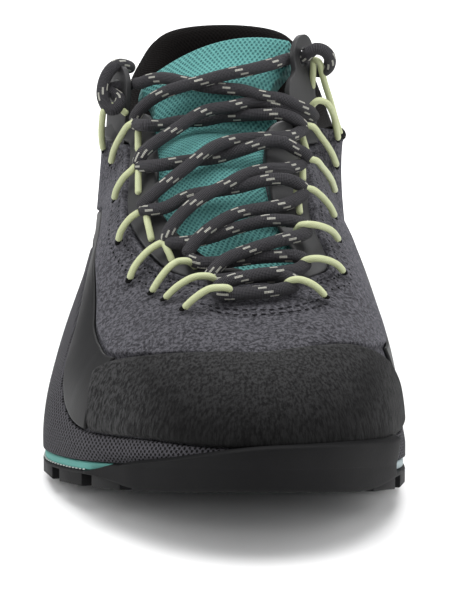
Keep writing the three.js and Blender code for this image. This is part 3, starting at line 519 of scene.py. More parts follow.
def spread_over(u, t, level=0.15):
    """The millimetres round the shoe, measured at one level, and up the rib, at u and t."""
    line = RIBS[:, round(level * RIB_STEPS)]
    steps = np.linalg.norm(np.roll(line, -1, axis=0) - line, axis=1)
    reach = np.concatenate([[0], np.cumsum(steps)])
    rib_length = np.linalg.norm(RIBS[:, 1] - RIBS[:, 0], axis=1) * RIB_STEPS
    at = (u % 1) * RIB_COLUMNS
    round_it = np.interp(at, np.arange(RIB_COLUMNS + 1), reach) + np.floor(u) * reach[-1]
    return np.stack([round_it, t * np.interp(at, np.arange(RIB_COLUMNS), rib_length)], axis=1)


def rounded(x):
    """How full a soft edge is at a distance in from it, as a share of its radius."""
    return np.sqrt(np.clip(1 - (1 - np.clip(x, 0, 1)) ** 2, 0, 1))


def pillow(name, columns, rows, front, back, size):
    """A closed pad from a front and a back sheet that meet at their edges."""
    face = formed_sheet(name, columns, rows, front, size)
    underside = flipped(formed_sheet(name + "_back", columns, rows, back, size))
    return joined(name, [face, underside])


def slab(name, columns, inset, low, high, lip=0.6):
    """A sole layer: an upper and a lower face from side to side and a wall with rounded edges round it."""
    quarter = lip * 0.25
    levels = [(0.0, lip), (0.25, quarter), (0.5, 0.0), (1.0, 0.0), (1.5, 0.0), (1.75, quarter), (2.0, lip)]

    def at_edge(u, extra):
        return sole_edge(u, -inset(u) - extra)

    def wall(across, up):
        k = np.rint(up * (len(levels) - 1)).astype(int)
        place, inner = np.array(levels)[k].T
        points = at_edge(across, inner)
        bottom, top = low(points[:, 1]), high(points[:, 1])
        edge = lip * 0.9
        turns = [turn for turn, _ in levels]
        from_bottom = np.interp(place, turns, [0, 0.25, 1, 0, 0, 0, 0]) * edge
        from_top = np.interp(place, turns, [0, 0, 0, 0, 1, 0.25, 0]) * edge
        upper_half = np.where(place > 1, top - from_top, (bottom + top) / 2)
        points[:, 2] = np.where(place < 1, bottom + from_bottom, upper_half)
        return (points - ORIGIN) * MM

    def face(height):
        def place(across, along):
            left, right = at_edge(along / 2, lip), at_edge(1 - along / 2, lip)
            points = left * (1 - across)[:, None] + right * across[:, None]
            points[:, 2] = height(points[:, 1])
            return (points - ORIGIN) * MM
        return place

    sides = formed_sheet(name, columns, len(levels) - 1, wall, (700, 20))
    top = formed_sheet(name + "_top", 24, columns // 2, face(high), (100, 270))
    bottom = flipped(formed_sheet(name + "_bottom", 24, columns // 2, face(low), (100, 270)))
    return joined(name, [sides, top, bottom], 0.01)


def lug(corners, low):
    """A moulded block from four corners in plan, from the tread up into the slab, with soft edges."""
    bpy.ops.mesh.primitive_cube_add(size=1)
    block = bpy.context.object
    for vertex in block.data.vertices:
        right, ahead, up = (c > 0 for c in vertex.co)
        x, y = corners[[[0, 3], [1, 2]][right][ahead]][:2]
        z = slab_bottom(y) + 0.6 if up else low(y)
        vertex.co = [(x - ORIGIN[0]) * MM, (y - ORIGIN[1]) * MM, float(z) * MM]
    bpy.ops.object.mode_set(mode="EDIT")
    bpy.ops.mesh.select_all(action="SELECT")
    bpy.ops.mesh.normals_make_consistent(inside=False)
    bpy.ops.mesh.bevel(offset=MOULDED_EDGE * MM, segments=2, affect="EDGES")
    bpy.ops.object.mode_set(mode="OBJECT")
    return block


def edge_lugs():
    u = np.linspace(0, 1, 2001)
    reach = reach_along(edge_curve(u))
    blocks = []
    for i in range(LUGS_ROUND_THE_EDGE):
        places = [i + 0.5 + (s - 0.5) * LUG_SHARE for s in (0, 0.5, 1)]
        ends = np.interp([at / LUGS_ROUND_THE_EDGE * reach[-1] for at in places], reach, u)
        outer, inner = sole_edge(ends, 0.0), sole_edge(ends, -LUG_INWARD)
        along = share_of(outer[1, 1])
        if along < 0.95 and not 0.34 < along < 0.48:
            blocks.append(lug([outer[0], outer[2], inner[2], inner[0]], tread))
    return blocks


STUDS = [
    (0.09, 0), (0.17, -0.11), (0.17, 0.11), (0.26, 0), (0.52, -0.14), (0.53, 0.1), (0.58, -0.02),
    (0.63, -0.18),
    (0.63, 0.16), (0.69, -0.04), (0.69, 0.25), (0.75, -0.2), (0.75, 0.12), (0.81, 0), (0.81, 0.27),
    (0.87, 0.14),
]


def studs():
    blocks = []
    for along, x in STUDS:
        middle = np.array([x * BALL_WIDTH, forward(along)])
        bpy.ops.mesh.primitive_cylinder_add(vertices=6, radius=STUD_RADIUS * MM, depth=1 * MM)
        stud = bpy.context.object
        for vertex in stud.data.vertices:
            place = np.array(vertex.co[:2]) / MM + middle
            z = slab_bottom(place[1]) + 0.6 if vertex.co.z > 0 else tread(place[1])
            vertex.co = [*((place - ORIGIN[:2]) * MM), float(z) * MM]
        bpy.ops.object.mode_set(mode="EDIT")
        bpy.ops.mesh.select_all(action="SELECT")
        bpy.ops.mesh.bevel(offset=MOULDED_EDGE * MM, segments=2, affect="EDGES")
        bpy.ops.object.mode_set(mode="OBJECT")
        blocks.append(stud)
    return blocks


def height_place(u, height):
    """The share up a rib where it is at a height over the ground at the sole's edge."""
    wanted = ground(sole_edge(u)[:, 1]) + height
    t = np.linspace(0, 0.6, 121)
    found = np.empty(len(u))
    for i, one in enumerate(u):
        z = over_last(np.full(len(t), one), t)[:, 2] / MM
        found[i] = np.interp(wanted[i], z, t)
    return found


def toe_bumper():
    first, last_u = lateral_at(BUMPER_LOW_END), medial_at(BUMPER_MEDIAL)
    columns, rows = 180, 28
    u = first + (last_u - first) * np.linspace(0, 1, columns + 1)
    heights = smooth_line(u, BUMPER_HEIGHTS)
    high = height_place(u, heights)
    limit = ground(sole_edge(u)[:, 1]) + heights

    def sheet(inner):
        def place(across, up):
            j = np.rint(across * columns).astype(int)
            skirt = up < 0.3
            t = np.where(skirt, 0, (up - 0.3) / 0.7 * high[j])
            from_side = np.minimum(across, 1 - across) * BUMPER_SIZE[0]
            from_top = (1 - up) * BUMPER_SIZE[1]
            full = rounded(from_top / BUMPER_EDGE) * rounded(from_side / BUMPER_EDGE)
            points = over_last(u[j], t, BUMPER_INNER + (0 if inner else BUMPER_THICKNESS * full))
            bottom = slab_bottom(points[:, 1] / MM + ORIGIN[1]) + 0.9
            z_low = bottom + (points[:, 2] / MM - bottom) * np.clip(up / 0.3, 0, 1)
            z = np.where(skirt, z_low, points[:, 2] / MM)
            points[:, 2] = np.minimum(z, np.maximum(limit[j] + 0.2 * np.sin(np.pi / 2 * up), bottom)) * MM
            return points
        return place

    return pillow("toe_bumper", columns, rows, sheet(False), sheet(True), BUMPER_SIZE)


def moulded_rubber():
    """Moulded black rubber: near black and mottled, with a dull skin and a fine mould grain."""
    material, shader = new_material("moulded_rubber", Specular_IOR_Level=0.12)
    place = add_node(material, "ShaderNodeTexCoord")
    cloud = mottling(material, place, 35.0, 5.0, Roughness=0.6)
    grain = mottling(material, place, 1800.0, 2.0)
    paint(material, shader, cloud.outputs["Fac"], "#060607", "#101011")
    gloss = add_node(material, "ShaderNodeMapRange", inputs={
        "Value": cloud.outputs["Fac"], "From Min": 0.3, "From Max": 0.7, "To Min": 0.55, "To Max": 0.72})
    link(material, gloss.outputs["Result"], shader.inputs["Roughness"])
    emboss(material, shader, grain.outputs["Fac"], 0.25, 0.0002)
    return material


def mould_the_outsole():
    base = slab("outsole_slab", 336, lambda u: 0 * u, slab_bottom, outsole_top)
    blocks = edge_lugs() + studs()
    sole = joined("outsole_rubber", [base, toe_bumper(), *blocks], 0.001)
    sole.data.materials.append(moulded_rubber())
    select_only(sole)
    bpy.ops.object.shade_smooth_by_angle(angle=math.radians(40))
    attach(sole, "root")
    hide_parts("outsole")


mould_the_outsole()

# The midsole. Teal foam rubber with a painted highlight in pale grey on the inner side, thick under the heel
# and thin under the ball, cemented on the outsole, with a fine white stitched line along its lower edge on
# the outer side.


def midsole_foam():
    """Compression-moulded foam: a matt skin with fine closed cells and soft colour clouds, and a painted
    highlight in pale grey on the inner side.
    """
    material, shader = new_material("moulded_foam", Roughness=0.75)
    place = add_node(material, "ShaderNodeTexCoord")
    sides = add_node(material, "ShaderNodeSeparateXYZ", inputs={"Vector": place.outputs["Object"]})
    # Painted highlight: past about 20 to 30 mm towards the inner side, the foam is painted pale grey
    inner = add_node(material, "ShaderNodeMapRange", inputs={
        "Value": sides.outputs["X"], "From Min": 0.02, "From Max": 0.03})
    cloud = mottling(material, place, 60.0, 4.0)
    cells = add_node(material, "ShaderNodeTexVoronoi", inputs={
        "Vector": place.outputs["Object"], "Scale": 1100.0})
    teal = blend(material, cloud.outputs["Fac"], "#3d7a73", "#4f8d85")
    paint(material, shader, inner.outputs["Result"], teal, "#8d9a9d")
    emboss(material, shader, cells.outputs["Distance"], 0.2, 0.0002)
    return material


def mould_the_midsole():
    inset = lambda u: 0.6 + bumper_share(u) * 1.5
    midsole = slab("midsole_foam", 336, inset, lambda y: outsole_top(y) + 0.3, sole_top, 0.5)
    midsole.data.materials.append(midsole_foam())
    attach(midsole, "root")
    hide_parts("midsole")


mould_the_midsole()

# The insole. A removable foam footbed 4 mm thick, covered with a dark knitted cloth and laid loose on the
# midsole inside the upper.
INSOLE_THICKNESS = 4


def footbed_cloth():
    """Knitted polyester on foam: a dark matt cloth of small loops."""
    material, shader = new_material("knitted_footbed_cloth", Roughness=0.95, Sheen_Weight=0.2)
    place = add_node(material, "ShaderNodeTexCoord")
    loops = add_node(material, "ShaderNodeTexVoronoi", inputs={
        "Vector": place.outputs["Object"], "Scale": 900.0, "Randomness": 0.3})
    paint(material, shader, loops.outputs["Distance"], "#2d2d30", "#151516")
    emboss(material, shader, loops.outputs["Distance"], 0.4, 0.0003, invert=True)
    return material


def lay_the_insole():
    inset = lambda u: foot_inset(u) + 2.0
    low = lambda y: sole_top(y) + 0.3
    insole = slab("insole_footbed", 224, inset, low, lambda y: low(y) + INSOLE_THICKNESS, 0.8)
    insole.data.materials.append(footbed_cloth())
    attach(insole, "root")
    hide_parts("insole")


lay_the_insole()

# The upper. One knitted wall 1.4 mm thick, closed over the toes, with a layer of grey suede 1.3 mm thick
# sewn on it from above the side band to the throat and the collar.
UPPER_WALL = 1.4
SUEDE = 1.3
UPPER_COLUMNS = 448
POLE_REACH = 16
RAND_TOP = {
    "lateral": ([0, 3, 4, 5.5, 7.1, 7.8, 8.2, 8.55, 8.8, 9, 9.35, 9.65, 9.9, 10.4, 11.2, 12.2, 14],
                [0.2, 0.22, 0.3, 0.48, 0.6, 0.61, 0.56, 0.49, 0.43, 0.35, 0.27, 0.2, 0.15, 0.11, 0.11, 0.12,
                 0.09]),
    "medial": ([0, 3, 4, 5.5, 7.1, 8, 8.6, 9.5, 10, 11.1, 12.2, 14],
               [0.2, 0.2, 0.26, 0.38, 0.42, 0.38, 0.28, 0.14, 0.1, 0.09, 0.08, 0.09]),
}
SUEDE_LOW = {
    "lateral": ([0, 3, 6, 8.1, 8.65, 9.35, 9.9, 10.5, 11.35, 12.2, 13.2, 14],
                [0.6, 0.62, 0.66, 0.68, 0.62, 0.5, 0.42, 0.4, 0.48, 0.58, 0.72, 0.796]),
    "medial": ([0, 3, 6, 8.1, 8.65, 9.35, 9.9, 10.5, 11.35, 12.2, 13.2, 14],
               [0.6, 0.58, 0.58, 0.56, 0.53, 0.48, 0.43, 0.46, 0.55, 0.63, 0.72, 0.796]),
}
SUEDE_TOP = {
    "lateral": ([0, 4.8, 5.6, 7, 8.5, 9.3, 9.9, 10.5, 11],
                [0.97, 0.97, 0.92, 0.88, 0.88, 0.87, 0.82, 0.88, 1]),
    "medial": ([0, 4.8, 5.6, 7, 8.5, 9.3, 9.9, 10.5, 11],
               [0.97, 0.97, 0.91, 0.83, 0.87, 0.88, 0.83, 0.92, 1]),
}
LINE_GAP = 0.006


def upper_levels(u):
    """Places up the ribs and how far the surface stands out there, from the foot line to the top line."""
    foot = np.zeros_like(u)
    low, high = smooth_line(u, SUEDE_LOW), np.minimum(1, smooth_line(u, SUEDE_TOP))
    open_vamp = np.where(row_of(u) >= RIDGE_ROW, ramp((high - 0.985) / 0.015), 0)
    levels = [(foot + (low - LINE_GAP - foot) * s, 0 * u) for s in np.linspace(0, 1, 16)]
    levels += [(low - 0.001, 0.5 * SUEDE + 0 * u), (low + 0.002, 0.85 * SUEDE + 0 * u)]
    levels += [(low + 0.008 + (high - 0.02 - low) * s, SUEDE + 0 * u) for s in np.linspace(0, 1, 46)]
    levels += [(high - 0.006, SUEDE + 0.15 * (1 - open_vamp)), (high, SUEDE * (0.85 + 0.15 * open_vamp))]
    levels += [(np.minimum(1, high + 0.002), SUEDE * (0.4 + 0.6 * open_vamp))]
    after = np.minimum(1, high + 0.004)
    levels += [(after + (1 - after) * s, SUEDE * open_vamp) for s in np.linspace(0, 1, 8)]
    return np.array([[t, out] for t, out in levels])


def suede_nap():
    """Split suede with a short nap: charcoal, faintly violet, mottled where the nap lies different ways."""
    material, shader = new_material(
        "napped_split_suede", Roughness=0.95, Sheen_Weight=0.2, Sheen_Roughness=0.5, Specular_IOR_Level=0.1)
    shader.inputs["Sheen Tint"].default_value = linear("#9c9ca6")
    place = add_node(material, "ShaderNodeTexCoord")
    nap = mottling(material, place, 1700.0, 2.0, Roughness=0.7)
    fleck = mottling(material, place, 1050.0, 2.0, Roughness=0.7)
    cloud = mottling(material, place, 34.0, 4.0, Distortion=0.8)
    base = blend(material, cloud.outputs["Fac"], "#1c1c1e", "#515055")
    contrast = add_node(material, "ShaderNodeMapRange", inputs={
        "Value": fleck.outputs["Fac"], "From Min": 0.4, "From Max": 0.62, "To Min": 0.0, "To Max": 1.0})
    shade = blend(material, contrast.outputs["Result"], "#0a0a0b", "#5a595e")
    paint(material, shader, 0.65, base, shade)
    both = add_node(material, "ShaderNodeMath", {"operation": "ADD"}, {
        0: nap.outputs["Fac"], 1: fleck.outputs["Fac"]})
    emboss(material, shader, both.outputs[0], 0.7, 0.0006)
    return material


# Soft creases of the vamp, as places at rows and up the ribs, with their width and height in millimetres
CREASES = [
    ([(-11.3, 0.76), (-11.8, 0.84), (-12.3, 0.93), (12.4, 0.93), (11.7, 0.82), (10.9, 0.7), (10.2, 0.62)],
     3.5, -0.7),
    ([(-10.6, 0.55), (-11.3, 0.65), (-12.0, 0.74)], 5.0, 0.6),
    ([(-10.2, 0.6), (-10.4, 0.5), (-10.7, 0.43)], 4.0, -0.6),
    ([(10.4, 0.62), (11.2, 0.68), (12.2, 0.78)], 5.0, 0.5),
    ([(-9.3, 0.66), (-9.8, 0.6), (-10.2, 0.52)], 4.0, 0.5),
]


def at_row(signed_row):
    """The place round the shoe of a row on the outer side, where it is negative, or the inner side."""
    return lateral_at(-signed_row) if signed_row < 0 else medial_at(signed_row)


def creased(points):
    """How far the creases raise or sink the surface at points in metres."""
    raised = np.zeros(len(points))
    for line, width, height in CREASES:
        places = [over_last([at_row(row)], [t], SUEDE)[0] / MM for row, t in line]
        route = smooth_route(places, 1.5)
        near = np.where(np.linalg.norm(points - route.mean(axis=0), axis=1) < 0.06)[0]
        far = np.linalg.norm(points[near, None] - route[None], axis=2)
        nearest = far.argmin(axis=1)
        fade = ramp(np.minimum(nearest, len(route) - 1 - nearest) / 6 + 0.15)
        raised[near] += height * fade * np.exp(-(far.min(axis=1) / (width * MM)) ** 2)
    return raised


def sew_the_upper():
    u = np.linspace(0, 1, UPPER_COLUMNS + 1)
    levels = upper_levels(u)
    rows = len(levels) - 1

    def place(across, up):
        j = np.rint(across * UPPER_COLUMNS).astype(int)
        k = np.rint(up * rows).astype(int)
        places = over_last(u[j], levels[k, 0, j], levels[k, 1, j])
        return over_last(u[j], levels[k, 0, j], levels[k, 1, j] + creased(places))

    folds = []
    for at in (lateral_at, medial_at):
        along = at(np.linspace(5.3, 10.7, 60))
        route = over_last(along, smooth_line(along, SUEDE_TOP) - 0.012, SUEDE + 0.05)
        folds.append(cord_tube("folded_edge", smooth_route(route[::3] / MM, 1.0), 1.9, 12))
    upper = formed_sheet("upper_suede", UPPER_COLUMNS, rows, place, (700, 120))
    upper = joined("upper_suede", [upper], 0.02)
    pole = over_last([0.5], [1.0], SUEDE)[0]
    bpy.context.view_layer.objects.active = upper
    bpy.ops.object.mode_set(mode="EDIT")
    bpy.ops.mesh.select_all(action="DESELECT")
    bpy.ops.object.mode_set(mode="OBJECT")
    for vertex in upper.data.vertices:
        vertex.select = (vertex.co - Vector(pole)).length < POLE_REACH * MM
    bpy.ops.object.mode_set(mode="EDIT")
    bpy.ops.mesh.vertices_smooth(factor=0.5, repeat=60)
    bpy.ops.object.mode_set(mode="OBJECT")
    wall = upper.modifiers.new("wall", "SOLIDIFY")
    wall.thickness = UPPER_WALL * MM
    wall.offset = -1
    upper.select_set(True)
    bpy.ops.object.modifier_apply(modifier="wall")
    bpy.ops.object.shade_smooth_by_angle(angle=math.radians(50))
    upper = joined("upper_suede", [upper, *folds], 0.0001)
    upper.data.materials.append(suede_nap())
    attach(upper, "root")
    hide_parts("upper")


sew_the_upper()

# The seams and pinholes. Bonded thread in double rows across the vamp under the throat and along the sole's
# outer side, and near-black beads of painted shade for the holes punched through the suede along the throat
# and for each loop.
SEAMS = [
    [(-10.79, 0.767), (-10.96, 0.792), (-11.21, 0.817), (-11.46, 0.867), (-11.67, 0.917), (-11.92, 1.0),
     (11.63, 0.908), (11.29, 0.842), (10.96, 0.792), (10.67, 0.758), (10.38, 0.733)],
    [(-11.17, 0.783), (-11.62, 0.842), (-11.96, 0.908), (12.17, 0.983), (11.75, 0.883), (11.38, 0.808),
     (10.92, 0.742), (10.54, 0.708), (10.29, 0.683)],
]
STITCH_SIZE, STITCH_PITCH = (1.7, 0.6, 0.45), 2.5
PINHOLE_SIZE, PINHOLE_PITCH = (0.8, 0.7, 0.12), 2.6
SOLE_STITCH_SIZE, SOLE_STITCH_PITCH = (1.2, 0.4, 0.6), 2.1
HOLE_SIZE = (2.9, 2.5, 0.5)
# Places along each lace loop, from its hole in the suede to the eyestay
LOOPS = {
    "loop_lateral_1": [
        (-36.6, 9.4, 79.0), (-36.9, 6.9, 83.9), (-36.5, 4.0, 89.4), (-35.7, 2.0, 92.9), (-33.4, 2.7, 94.0),
        (-31.3, 2.5, 93.4), (-28.7, 2.9, 91.2)],
    "loop_lateral_2": [
        (-33.8, -1.1, 77.4), (-32.6, -4.4, 82.3), (-30.1, -8.5, 87.8), (-27.9, -11.2, 91.2),
        (-25.2, -10.2, 91.9), (-25.1, -13.8, 89.2), (-25.0, -17.6, 84.5)],
    "loop_lateral_3": [
        (-31.6, -30.7, 73.3), (-30.7, -31.8, 76.8), (-28.6, -32.9, 80.5), (-26.6, -33.4, 82.5),
        (-24.4, -32.3, 84.4), (-24.3, -36.0, 81.7), (-24.2, -40.0, 77.0)],
    "loop_lateral_4": [
        (-29.6, -51.3, 66.1), (-28.8, -51.6, 69.2), (-26.8, -51.6, 72.3), (-24.9, -51.3, 74.0),
        (-22.2, -50.5, 75.0), (-21.1, -53.9, 72.3), (-19.8, -57.4, 67.7)],
    "loop_lateral_5": [
        (-26.0, -66.3, 59.0), (-24.6, -65.6, 62.4), (-21.8, -64.2, 65.8), (-19.2, -62.9, 67.7),
        (-16.6, -62.5, 68.7), (-15.3, -64.2, 67.2), (-13.7, -65.7, 63.8)],
    "loop_lateral_6": [
        (-19.6, -75.3, 57.8), (-17.0, -74.4, 61.9), (-14.3, -72.9, 64.8), (-12.2, -71.2, 65.7),
        (-9.7, -71.0, 65.8), (-6.8, -66.5, 62.5)],
    "loop_lateral_7": [
        (-15.8, -81.2, 57.7), (-12.2, -81.7, 61.4), (-8.3, -81.6, 63.8), (-5.4, -81.1, 64.3),
        (-2.8, -80.6, 63.8), (-0.8, -76.8, 60.2)],
    "loop_lateral_8": [
        (-10.4, -89.9, 57.4), (-7.0, -90.4, 60.8), (-3.4, -90.3, 63.1), (-0.7, -89.8, 63.4),
        (1.9, -88.9, 62.9), (2.0, -84.5, 58.6)],
    "loop_medial_1": [
        (35.2, 13.9, 82.7), (33.4, 13.0, 88.5), (31.9, 12.2, 93.9), (30.3, 11.4, 99.0),
        (29.2, 10.4, 103.1), (28.3, 7.3, 106.5), (27.0, 8.4, 106.9), (26.6, 9.4, 103.0), (26.4, 11.0, 97.5)],
    "loop_medial_2": [
        (34.4, 10.9, 82.2), (33.5, 5.0, 87.5), (32.3, 1.4, 92.5), (30.3, -1.0, 95.9), (28.0, -2.0, 96.7),
        (26.3, -1.6, 95.3), (25.5, 1.0, 92.0), (25.4, 4.0, 88.6)],
    "loop_medial_3": [
        (34.0, 7.1, 74.7), (32.1, 2.6, 80.0), (28.7, -2.9, 86.1), (25.8, -6.7, 90.0), (22.2, -5.8, 89.2),
        (23.3, -5.7, 86.4), (24.7, -5.1, 81.5)],
    "loop_medial_4": [
        (33.2, -3.6, 69.5), (31.7, -11.5, 74.9), (28.8, -21.7, 81.0), (26.2, -29.0, 84.9),
        (22.8, -28.7, 84.8), (22.9, -30.1, 82.8), (23.0, -31.4, 78.9)],
    "loop_medial_5": [
        (32.2, -37.6, 70.1), (30.6, -40.4, 73.9), (27.7, -43.7, 78.0), (25.0, -45.8, 80.3),
        (21.1, -45.3, 79.9), (21.4, -47.5, 77.7), (21.9, -49.6, 73.6)],
    "loop_medial_6": [
        (32.9, -52.2, 67.0), (30.9, -56.6, 70.6), (28.2, -60.6, 73.0), (24.6, -62.6, 74.2),
        (21.6, -61.6, 73.6), (20.4, -59.6, 71.0)],
    "loop_medial_7": [
        (33.9, -67.2, 61.7), (31.8, -69.8, 64.6), (28.8, -72.0, 66.5), (25.6, -73.2, 67.2),
        (22.8, -72.6, 66.4), (21.4, -70.5, 64.0)],
    "loop_medial_8": [
        (28.5, -83.3, 59.0), (26.4, -84.2, 61.6), (23.8, -84.4, 63.4), (20.8, -84.2, 64.2),
        (18.4, -83.4, 63.4), (17.2, -81.5, 61.0)],
}


def nearest_on_last(point):
    """The last's outward direction nearest to a point in metres."""
    far = np.linalg.norm(RIBS - (np.asarray(point) / MM + ORIGIN), axis=2)
    return RIB_NORMALS[np.unravel_index(np.argmin(far), far.shape)]


def bead(middle, ahead, size, standing):
    """A small rounded bead of a length, width and height, lying on the surface along a direction."""
    ahead = ahead - standing * (ahead @ standing)
    ahead = ahead / np.linalg.norm(ahead)
    turn = np.stack([ahead, np.cross(standing, ahead), standing], axis=1)
    bpy.ops.mesh.primitive_uv_sphere_add(segments=8, ring_count=5, radius=1)
    piece = bpy.context.object
    for vertex in piece.data.vertices:
        vertex.co = middle + turn @ (np.array(vertex.co) * np.array(size) / 2 * MM)
    return piece


def beads_along(route, pitch, size):
    """Beads at even steps along a route in metres."""
    reach = reach_along(route)
    row = []
    for at in np.arange(pitch / 2, reach[-1] / MM, pitch):
        middle = np.array([np.interp(at * MM, reach, route[:, k]) for k in range(3)])
        ahead = np.array([np.interp(at * MM + 1e-4, reach, route[:, k]) for k in range(3)]) - middle
        if np.linalg.norm(ahead) > 1e-6:
            row.append(bead(middle, ahead, size, nearest_on_last(middle)))
    return row


def flat_finish(name, colour, roughness):
    """A thread, or the painted shade of a punched hole: one matt colour, mottled by its fibres."""
    material, shader = new_material(name, Roughness=roughness, Specular_IOR_Level=0.1)
    place = add_node(material, "ShaderNodeTexCoord")
    fibre = mottling(material, place, 2600.0, 2.0)
    dark = [c * 0.6 for c in linear(colour)[:3]] + [1.0]
    paint(material, shader, fibre.outputs["Fac"], dark, colour)
    emboss(material, shader, fibre.outputs["Fac"], 0.4, 0.0001)
    return material


def stitch_and_punch():
    thread, holes = [], []
    for seam in SEAMS:
        places = [over_last([at_row(row)], [t], SUEDE + 0.1)[0] / MM for row, t in seam]
        thread += beads_along(smooth_route(places, 0.5), STITCH_PITCH, STITCH_SIZE)
    # Near-black beads of painted shade stand for the pinholes along the throat
    for at in (lateral_at, medial_at):
        along = at(np.linspace(5.6, 10.3, 50))
        for depth in (0.045, 0.1):
            line = over_last(along, smooth_line(along, SUEDE_TOP) - depth, SUEDE + 0.02)
            holes += beads_along(smooth_route(line[::3] / MM, 0.5), PINHOLE_PITCH, PINHOLE_SIZE)
    for name, points in LOOPS.items():
        foot = np.array(points[0]) * MM
        standing = nearest_on_last(foot)
        under_the_collar = name == "loop_medial_1"
        if not under_the_collar:
            # A near-black bead of painted shade stands for the hole where the loop comes up through the suede
            holes.append(bead(foot + standing * 0.1 * MM, np.array([0.1, 1.0, 0.1]), HOLE_SIZE, standing))
    edge = sole_edge(lateral_at(np.linspace(7, 10.6, 40)), -0.5)
    edge[:, 2] = outsole_top(edge[:, 1]) + 0.35
    pale = beads_along((edge - ORIGIN) * MM, SOLE_STITCH_PITCH, SOLE_STITCH_SIZE)
    for name, pieces, finish in (("seam_thread", thread, flat_finish("bonded_nylon_thread", "#232226", 0.7)),
                                 ("pinholes_painted_shade", holes, flat_finish("painted_hole_shade", "#060606", 0.95)),
                                 ("sole_thread", pale, flat_finish("pale_sole_thread", "#c4cbc8", 0.7))):
        row = joined(name, pieces, 0.0001)
        row.data.materials.append(finish)
        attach(row, "root")


stitch_and_punch()

# The rand. A band of coarse open knit round the foot line, highest beside the instep, lasted under the
# midsole with the upper.
GAP = 0.3
RAND = 1.7


def open_knit():
    """Coarse open knit: grey yarns round small black holes in offset rows, 1.1 mm apart."""
    material, shader = new_material("open_polyester_knit", Roughness=0.9, Specular_IOR_Level=0.2)
    place = add_node(material, "ShaderNodeUVMap", {"uv_map": "UVMap"})
    turned = add_node(material, "ShaderNodeMapping", inputs={
        "Vector": place.outputs["UV"], "Rotation": (0, 0, math.radians(45)), "Scale": (0.9, 0.9, 1)})
    holes = add_node(material, "ShaderNodeTexVoronoi", {"voronoi_dimensions": "2D"}, {
        "Vector": turned.outputs["Vector"], "Scale": 1.0, "Randomness": 0.12})
    open_part = add_node(material, "ShaderNodeMapRange", inputs={
        "Value": holes.outputs["Distance"], "From Min": 0.2, "From Max": 0.42})
    paint(material, shader, open_part.outputs["Result"], "#060607", "#434246")
    emboss(material, shader, open_part.outputs["Result"], 0.9, 0.0006)
    return material


def wrap_the_rand():
    columns, rows = 448, 20
    u = np.linspace(0, 1, columns + 1)
    top = smooth_line(u, RAND_TOP)

    def sheet(inner):
        def place(across, up):
            j = np.rint(across * columns).astype(int)
            t = up * top[j]
            thick = RAND - (RAND - 0.8) * ramp((up - 0.4) / 0.6)
            full = rounded((1 - up) / 0.06)
            return over_last(u[j], t, GAP + (0 if inner else thick * full))
        return place

    def knit_size(across, up):
        j = np.rint(across * columns).astype(int)
        return spread_over(np.minimum(u[j], 0.999999), up * top[j])

    face = formed_sheet("rand_knit", columns, rows, sheet(False), knit_size)
    back = flipped(formed_sheet("rand_back", columns, rows, sheet(True), knit_size))
    rand = joined("rand_knit", [face, back])
    rand.data.materials.append(open_knit())
    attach(rand, "root")
    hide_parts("rand")


wrap_the_rand()

# The side band. A smooth dark polyurethane film 0.8 mm thick, bonded over the knit between the rand and
# the suede, from the toe cap round the heel.
BAND = 0.8
CAP_LATERAL_ROW = 10.5
CAP_MEDIAL_ROW = 9.7


def panel_on_last(
        name, columns, rows, first, last_u, low, high, inner, thickness, edge, size, lean=0.0):
    """A bonded panel with soft edges between two lines over the last. Its first end leans by a share of u
    from its foot to its top."""
    u = first + (last_u - first) * (0.5 - 0.5 * np.cos(np.pi * np.linspace(0, 1, columns + 1)))
    bottom, top = low(u), high(u)
    width = size[0]

    def sheet(back):
        def place(across, up):
            j = np.rint(across * columns).astype(int)
            share = 0.5 - 0.5 * np.cos(np.pi * up)
            place_round = u[j] + lean * (0.5 - share) * (1 - ramp(across / 0.25))
            t = low(place_round) + (high(place_round) - low(place_round)) * share
            from_side = np.minimum(u[j] - first, last_u - u[j]) / (last_u - first) * width
            from_line = np.minimum(share, 1 - share) * (top[j] - bottom[j]) * 130
            full = rounded(from_side / edge) * rounded(from_line / edge)
            return over_last(place_round, t, inner + (0 if back else thickness * full))
        return place

    return pillow(name, columns, rows, sheet(False), sheet(True), size)


def smooth_polyurethane(name, dark, light, specular):
    """Polyurethane as a bonded film or a moulding: smooth and satin, with a faint grain and soft smudges."""
    material, shader = new_material(name, Specular_IOR_Level=specular)
    place = add_node(material, "ShaderNodeTexCoord")
    smudge = mottling(material, place, 45.0, 4.0)
    grain = mottling(material, place, 2200.0, 1.0)
    paint(material, shader, smudge.outputs["Fac"], dark, light)
    gloss = add_node(material, "ShaderNodeMapRange", inputs={
        "Value": smudge.outputs["Fac"], "From Min": 0.3, "From Max": 0.7, "To Min": 0.42, "To Max": 0.58})
    link(material, gloss.outputs["Result"], shader.inputs["Roughness"])
    emboss(material, shader, grain.outputs["Fac"], 0.15, 0.0002)
    return material


def bond_the_side_band():
    first, last_u = medial_at(CAP_MEDIAL_ROW - 0.06) - 1, lateral_at(CAP_LATERAL_ROW + 0.1)
    band = panel_on_last(
        "side_band_film", 400, 24, first, last_u,
        lambda u: smooth_line(u, RAND_TOP) + LINE_GAP, lambda u: smooth_line(u, SUEDE_LOW) - 2 * LINE_GAP,
        GAP, BAND, 0.8, (520, 50))
    band.data.materials.append(smooth_polyurethane("bonded_polyurethane_film", "#0d0d0e", "#171718", 0.2))
    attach(band, "root")
    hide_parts("side_band")


bond_the_side_band()

# The toe cap. A moulded guard of rubberised microfibre, 2 mm thick with rolled edges, bonded round the toe
# from the rand up to the suede's front edge.
TOE_CAP = 2.0
CAP_TOP = {
    "lateral": ([9.6, 9.9, 10.5, 11, 11.35, 12.2, 13.2, 14],
                [0.2, 0.22, 0.37, 0.434, 0.474, 0.574, 0.712, 0.79]),
    "medial": ([9.6, 9.9, 10.5, 11, 11.35, 12.2, 13.2, 14],
               [0.2, 0.36, 0.45, 0.504, 0.544, 0.624, 0.714, 0.79]),
}


